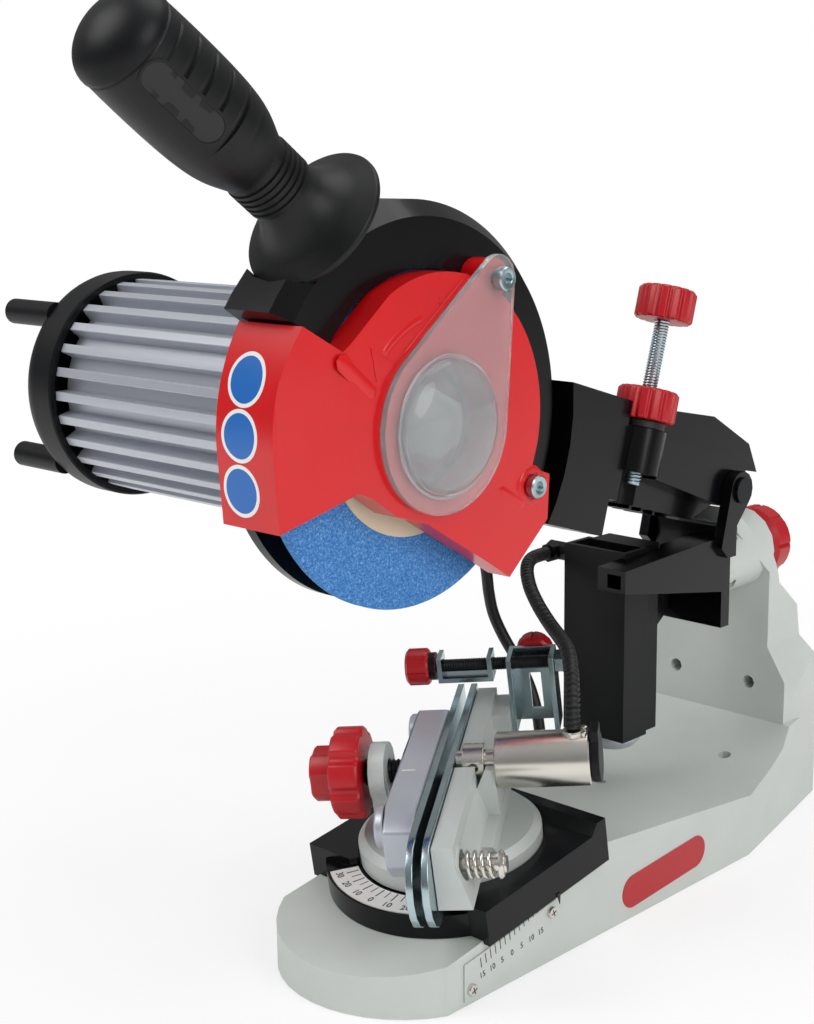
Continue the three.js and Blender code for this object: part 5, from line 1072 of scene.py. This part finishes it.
# %% [markdown]
# Floor, backdrop and light. The photograph is a cut-out on white: a pale floor that runs up into a white
# world keeps the soft shadow under the stand. Three large soft lamps shape the paint and the metal.

# %% Floor and lamps
floor_mesh = bpy.data.meshes.new("floor")
floor_mesh.from_pydata([(-6, -6, 0), (6, -6, 0), (6, 6, 0), (-6, 6, 0)], [], [(0, 1, 2, 3)])
floor_mesh.transform(Matrix.Translation((0, 0, -0.0003)))
floor = linked("floor", floor_mesh)


def floor_paint():
    """White that keeps a soft shadow near the stand and fades to plain white further off."""
    material = finish("floor_white", "ffffff", "fbfbfb", 0.9, 0.05, bump=0.0, specular=0.0)
    tree = material.node_tree
    place = add_node(tree, "ShaderNodeTexCoord").outputs["Object"]
    reach = add_node(tree, "ShaderNodeVectorMath", wires={0: place}, operation="LENGTH")
    fade = add_node(
        tree, "ShaderNodeMapRange", {"From Min": 0.22, "From Max": 0.6, "To Min": 0.62},
        {"Value": reach.outputs["Value"]}, interpolation_type="SMOOTHSTEP",
    )
    glow = add_node(tree, "ShaderNodeEmission", {"Color": (1, 1, 1, 1)})
    path = add_node(tree, "ShaderNodeLightPath")
    seen = add_node(tree, "ShaderNodeMath", wires={
        0: path.outputs["Is Camera Ray"], 1: fade.outputs["Result"]}, operation="MULTIPLY")
    mix = add_node(tree, "ShaderNodeMixShader", wires={
        "Fac": seen.outputs[0], 1: tree.nodes["Principled BSDF"].outputs["BSDF"], 2: glow.outputs["Emission"]})
    fill_node(tree, tree.nodes["Material Output"], wires={"Surface": mix.outputs["Shader"]})
    return material


floor_mesh.materials.append(floor_paint())
for name, place, aim, size, power in (
    ("key_lamp", (-0.9, -1.3, 1.7), (0, 0, 0.15), 1.4, 20),
    ("side_lamp", (1.6, -0.3, 1.0), (0, 0, 0.15), 1.3, 14),
    ("top_lamp", (0.1, 0.5, 2.0), (0, 0, 0.1), 1.6, 12),
):
    lamp_data = bpy.data.lights.new(name, "AREA")
    lamp_data.shape = "DISK"
    lamp_data.size = size
    lamp_data.energy = power
    lamp = linked(name, lamp_data)
    aimed = (Vector(aim) - Vector(place)).to_track_quat("-Z", "Y")
    lamp.matrix_world = Matrix.Translation(place) @ aimed.to_matrix().to_4x4()

# %% World
world = bpy.data.worlds.new("white_room")
bpy.context.scene.world = world
world.use_nodes = True
tree = world.node_tree
tree.nodes.clear()
height = add_node(tree, "ShaderNodeTexCoord")
split = add_node(tree, "ShaderNodeSeparateXYZ", wires={"Vector": height.outputs["Generated"]})
shade = add_node(tree, "ShaderNodeValToRGB", wires={"Fac": split.outputs["Z"]})
for element, where, colour in zip(
    shade.color_ramp.elements, (0.0, 1.0), ((0.35, 0.35, 0.36, 1), (0.95, 0.95, 0.95, 1)),
):
    element.position, element.color = where, colour
white = add_node(tree, "ShaderNodeBackground", {"Color": (1, 1, 1, 1), "Strength": 1.0})
room = add_node(tree, "ShaderNodeBackground", {"Strength": 0.5}, {"Color": shade.outputs["Color"]})
seen = add_node(tree, "ShaderNodeLightPath")
either = add_node(tree, "ShaderNodeMath", wires={
    0: seen.outputs["Is Camera Ray"], 1: seen.outputs["Is Transmission Ray"]}, operation="MAXIMUM")
choice = add_node(tree, "ShaderNodeMixShader", wires={
    "Fac": either.outputs[0], 1: room.outputs["Background"], 2: white.outputs["Background"]})
add_node(tree, "ShaderNodeOutputWorld", wires={"Surface": choice.outputs["Shader"]})
print("white world set")

# %% [markdown]
# The last cell sets the picture's size and its colour transform.

# %% Sizes and finish
scene = bpy.context.scene
scene.render.resolution_x, scene.render.resolution_y = PICTURE_WIDTH, PICTURE_HEIGHT
scene.view_settings.view_transform = "Standard"
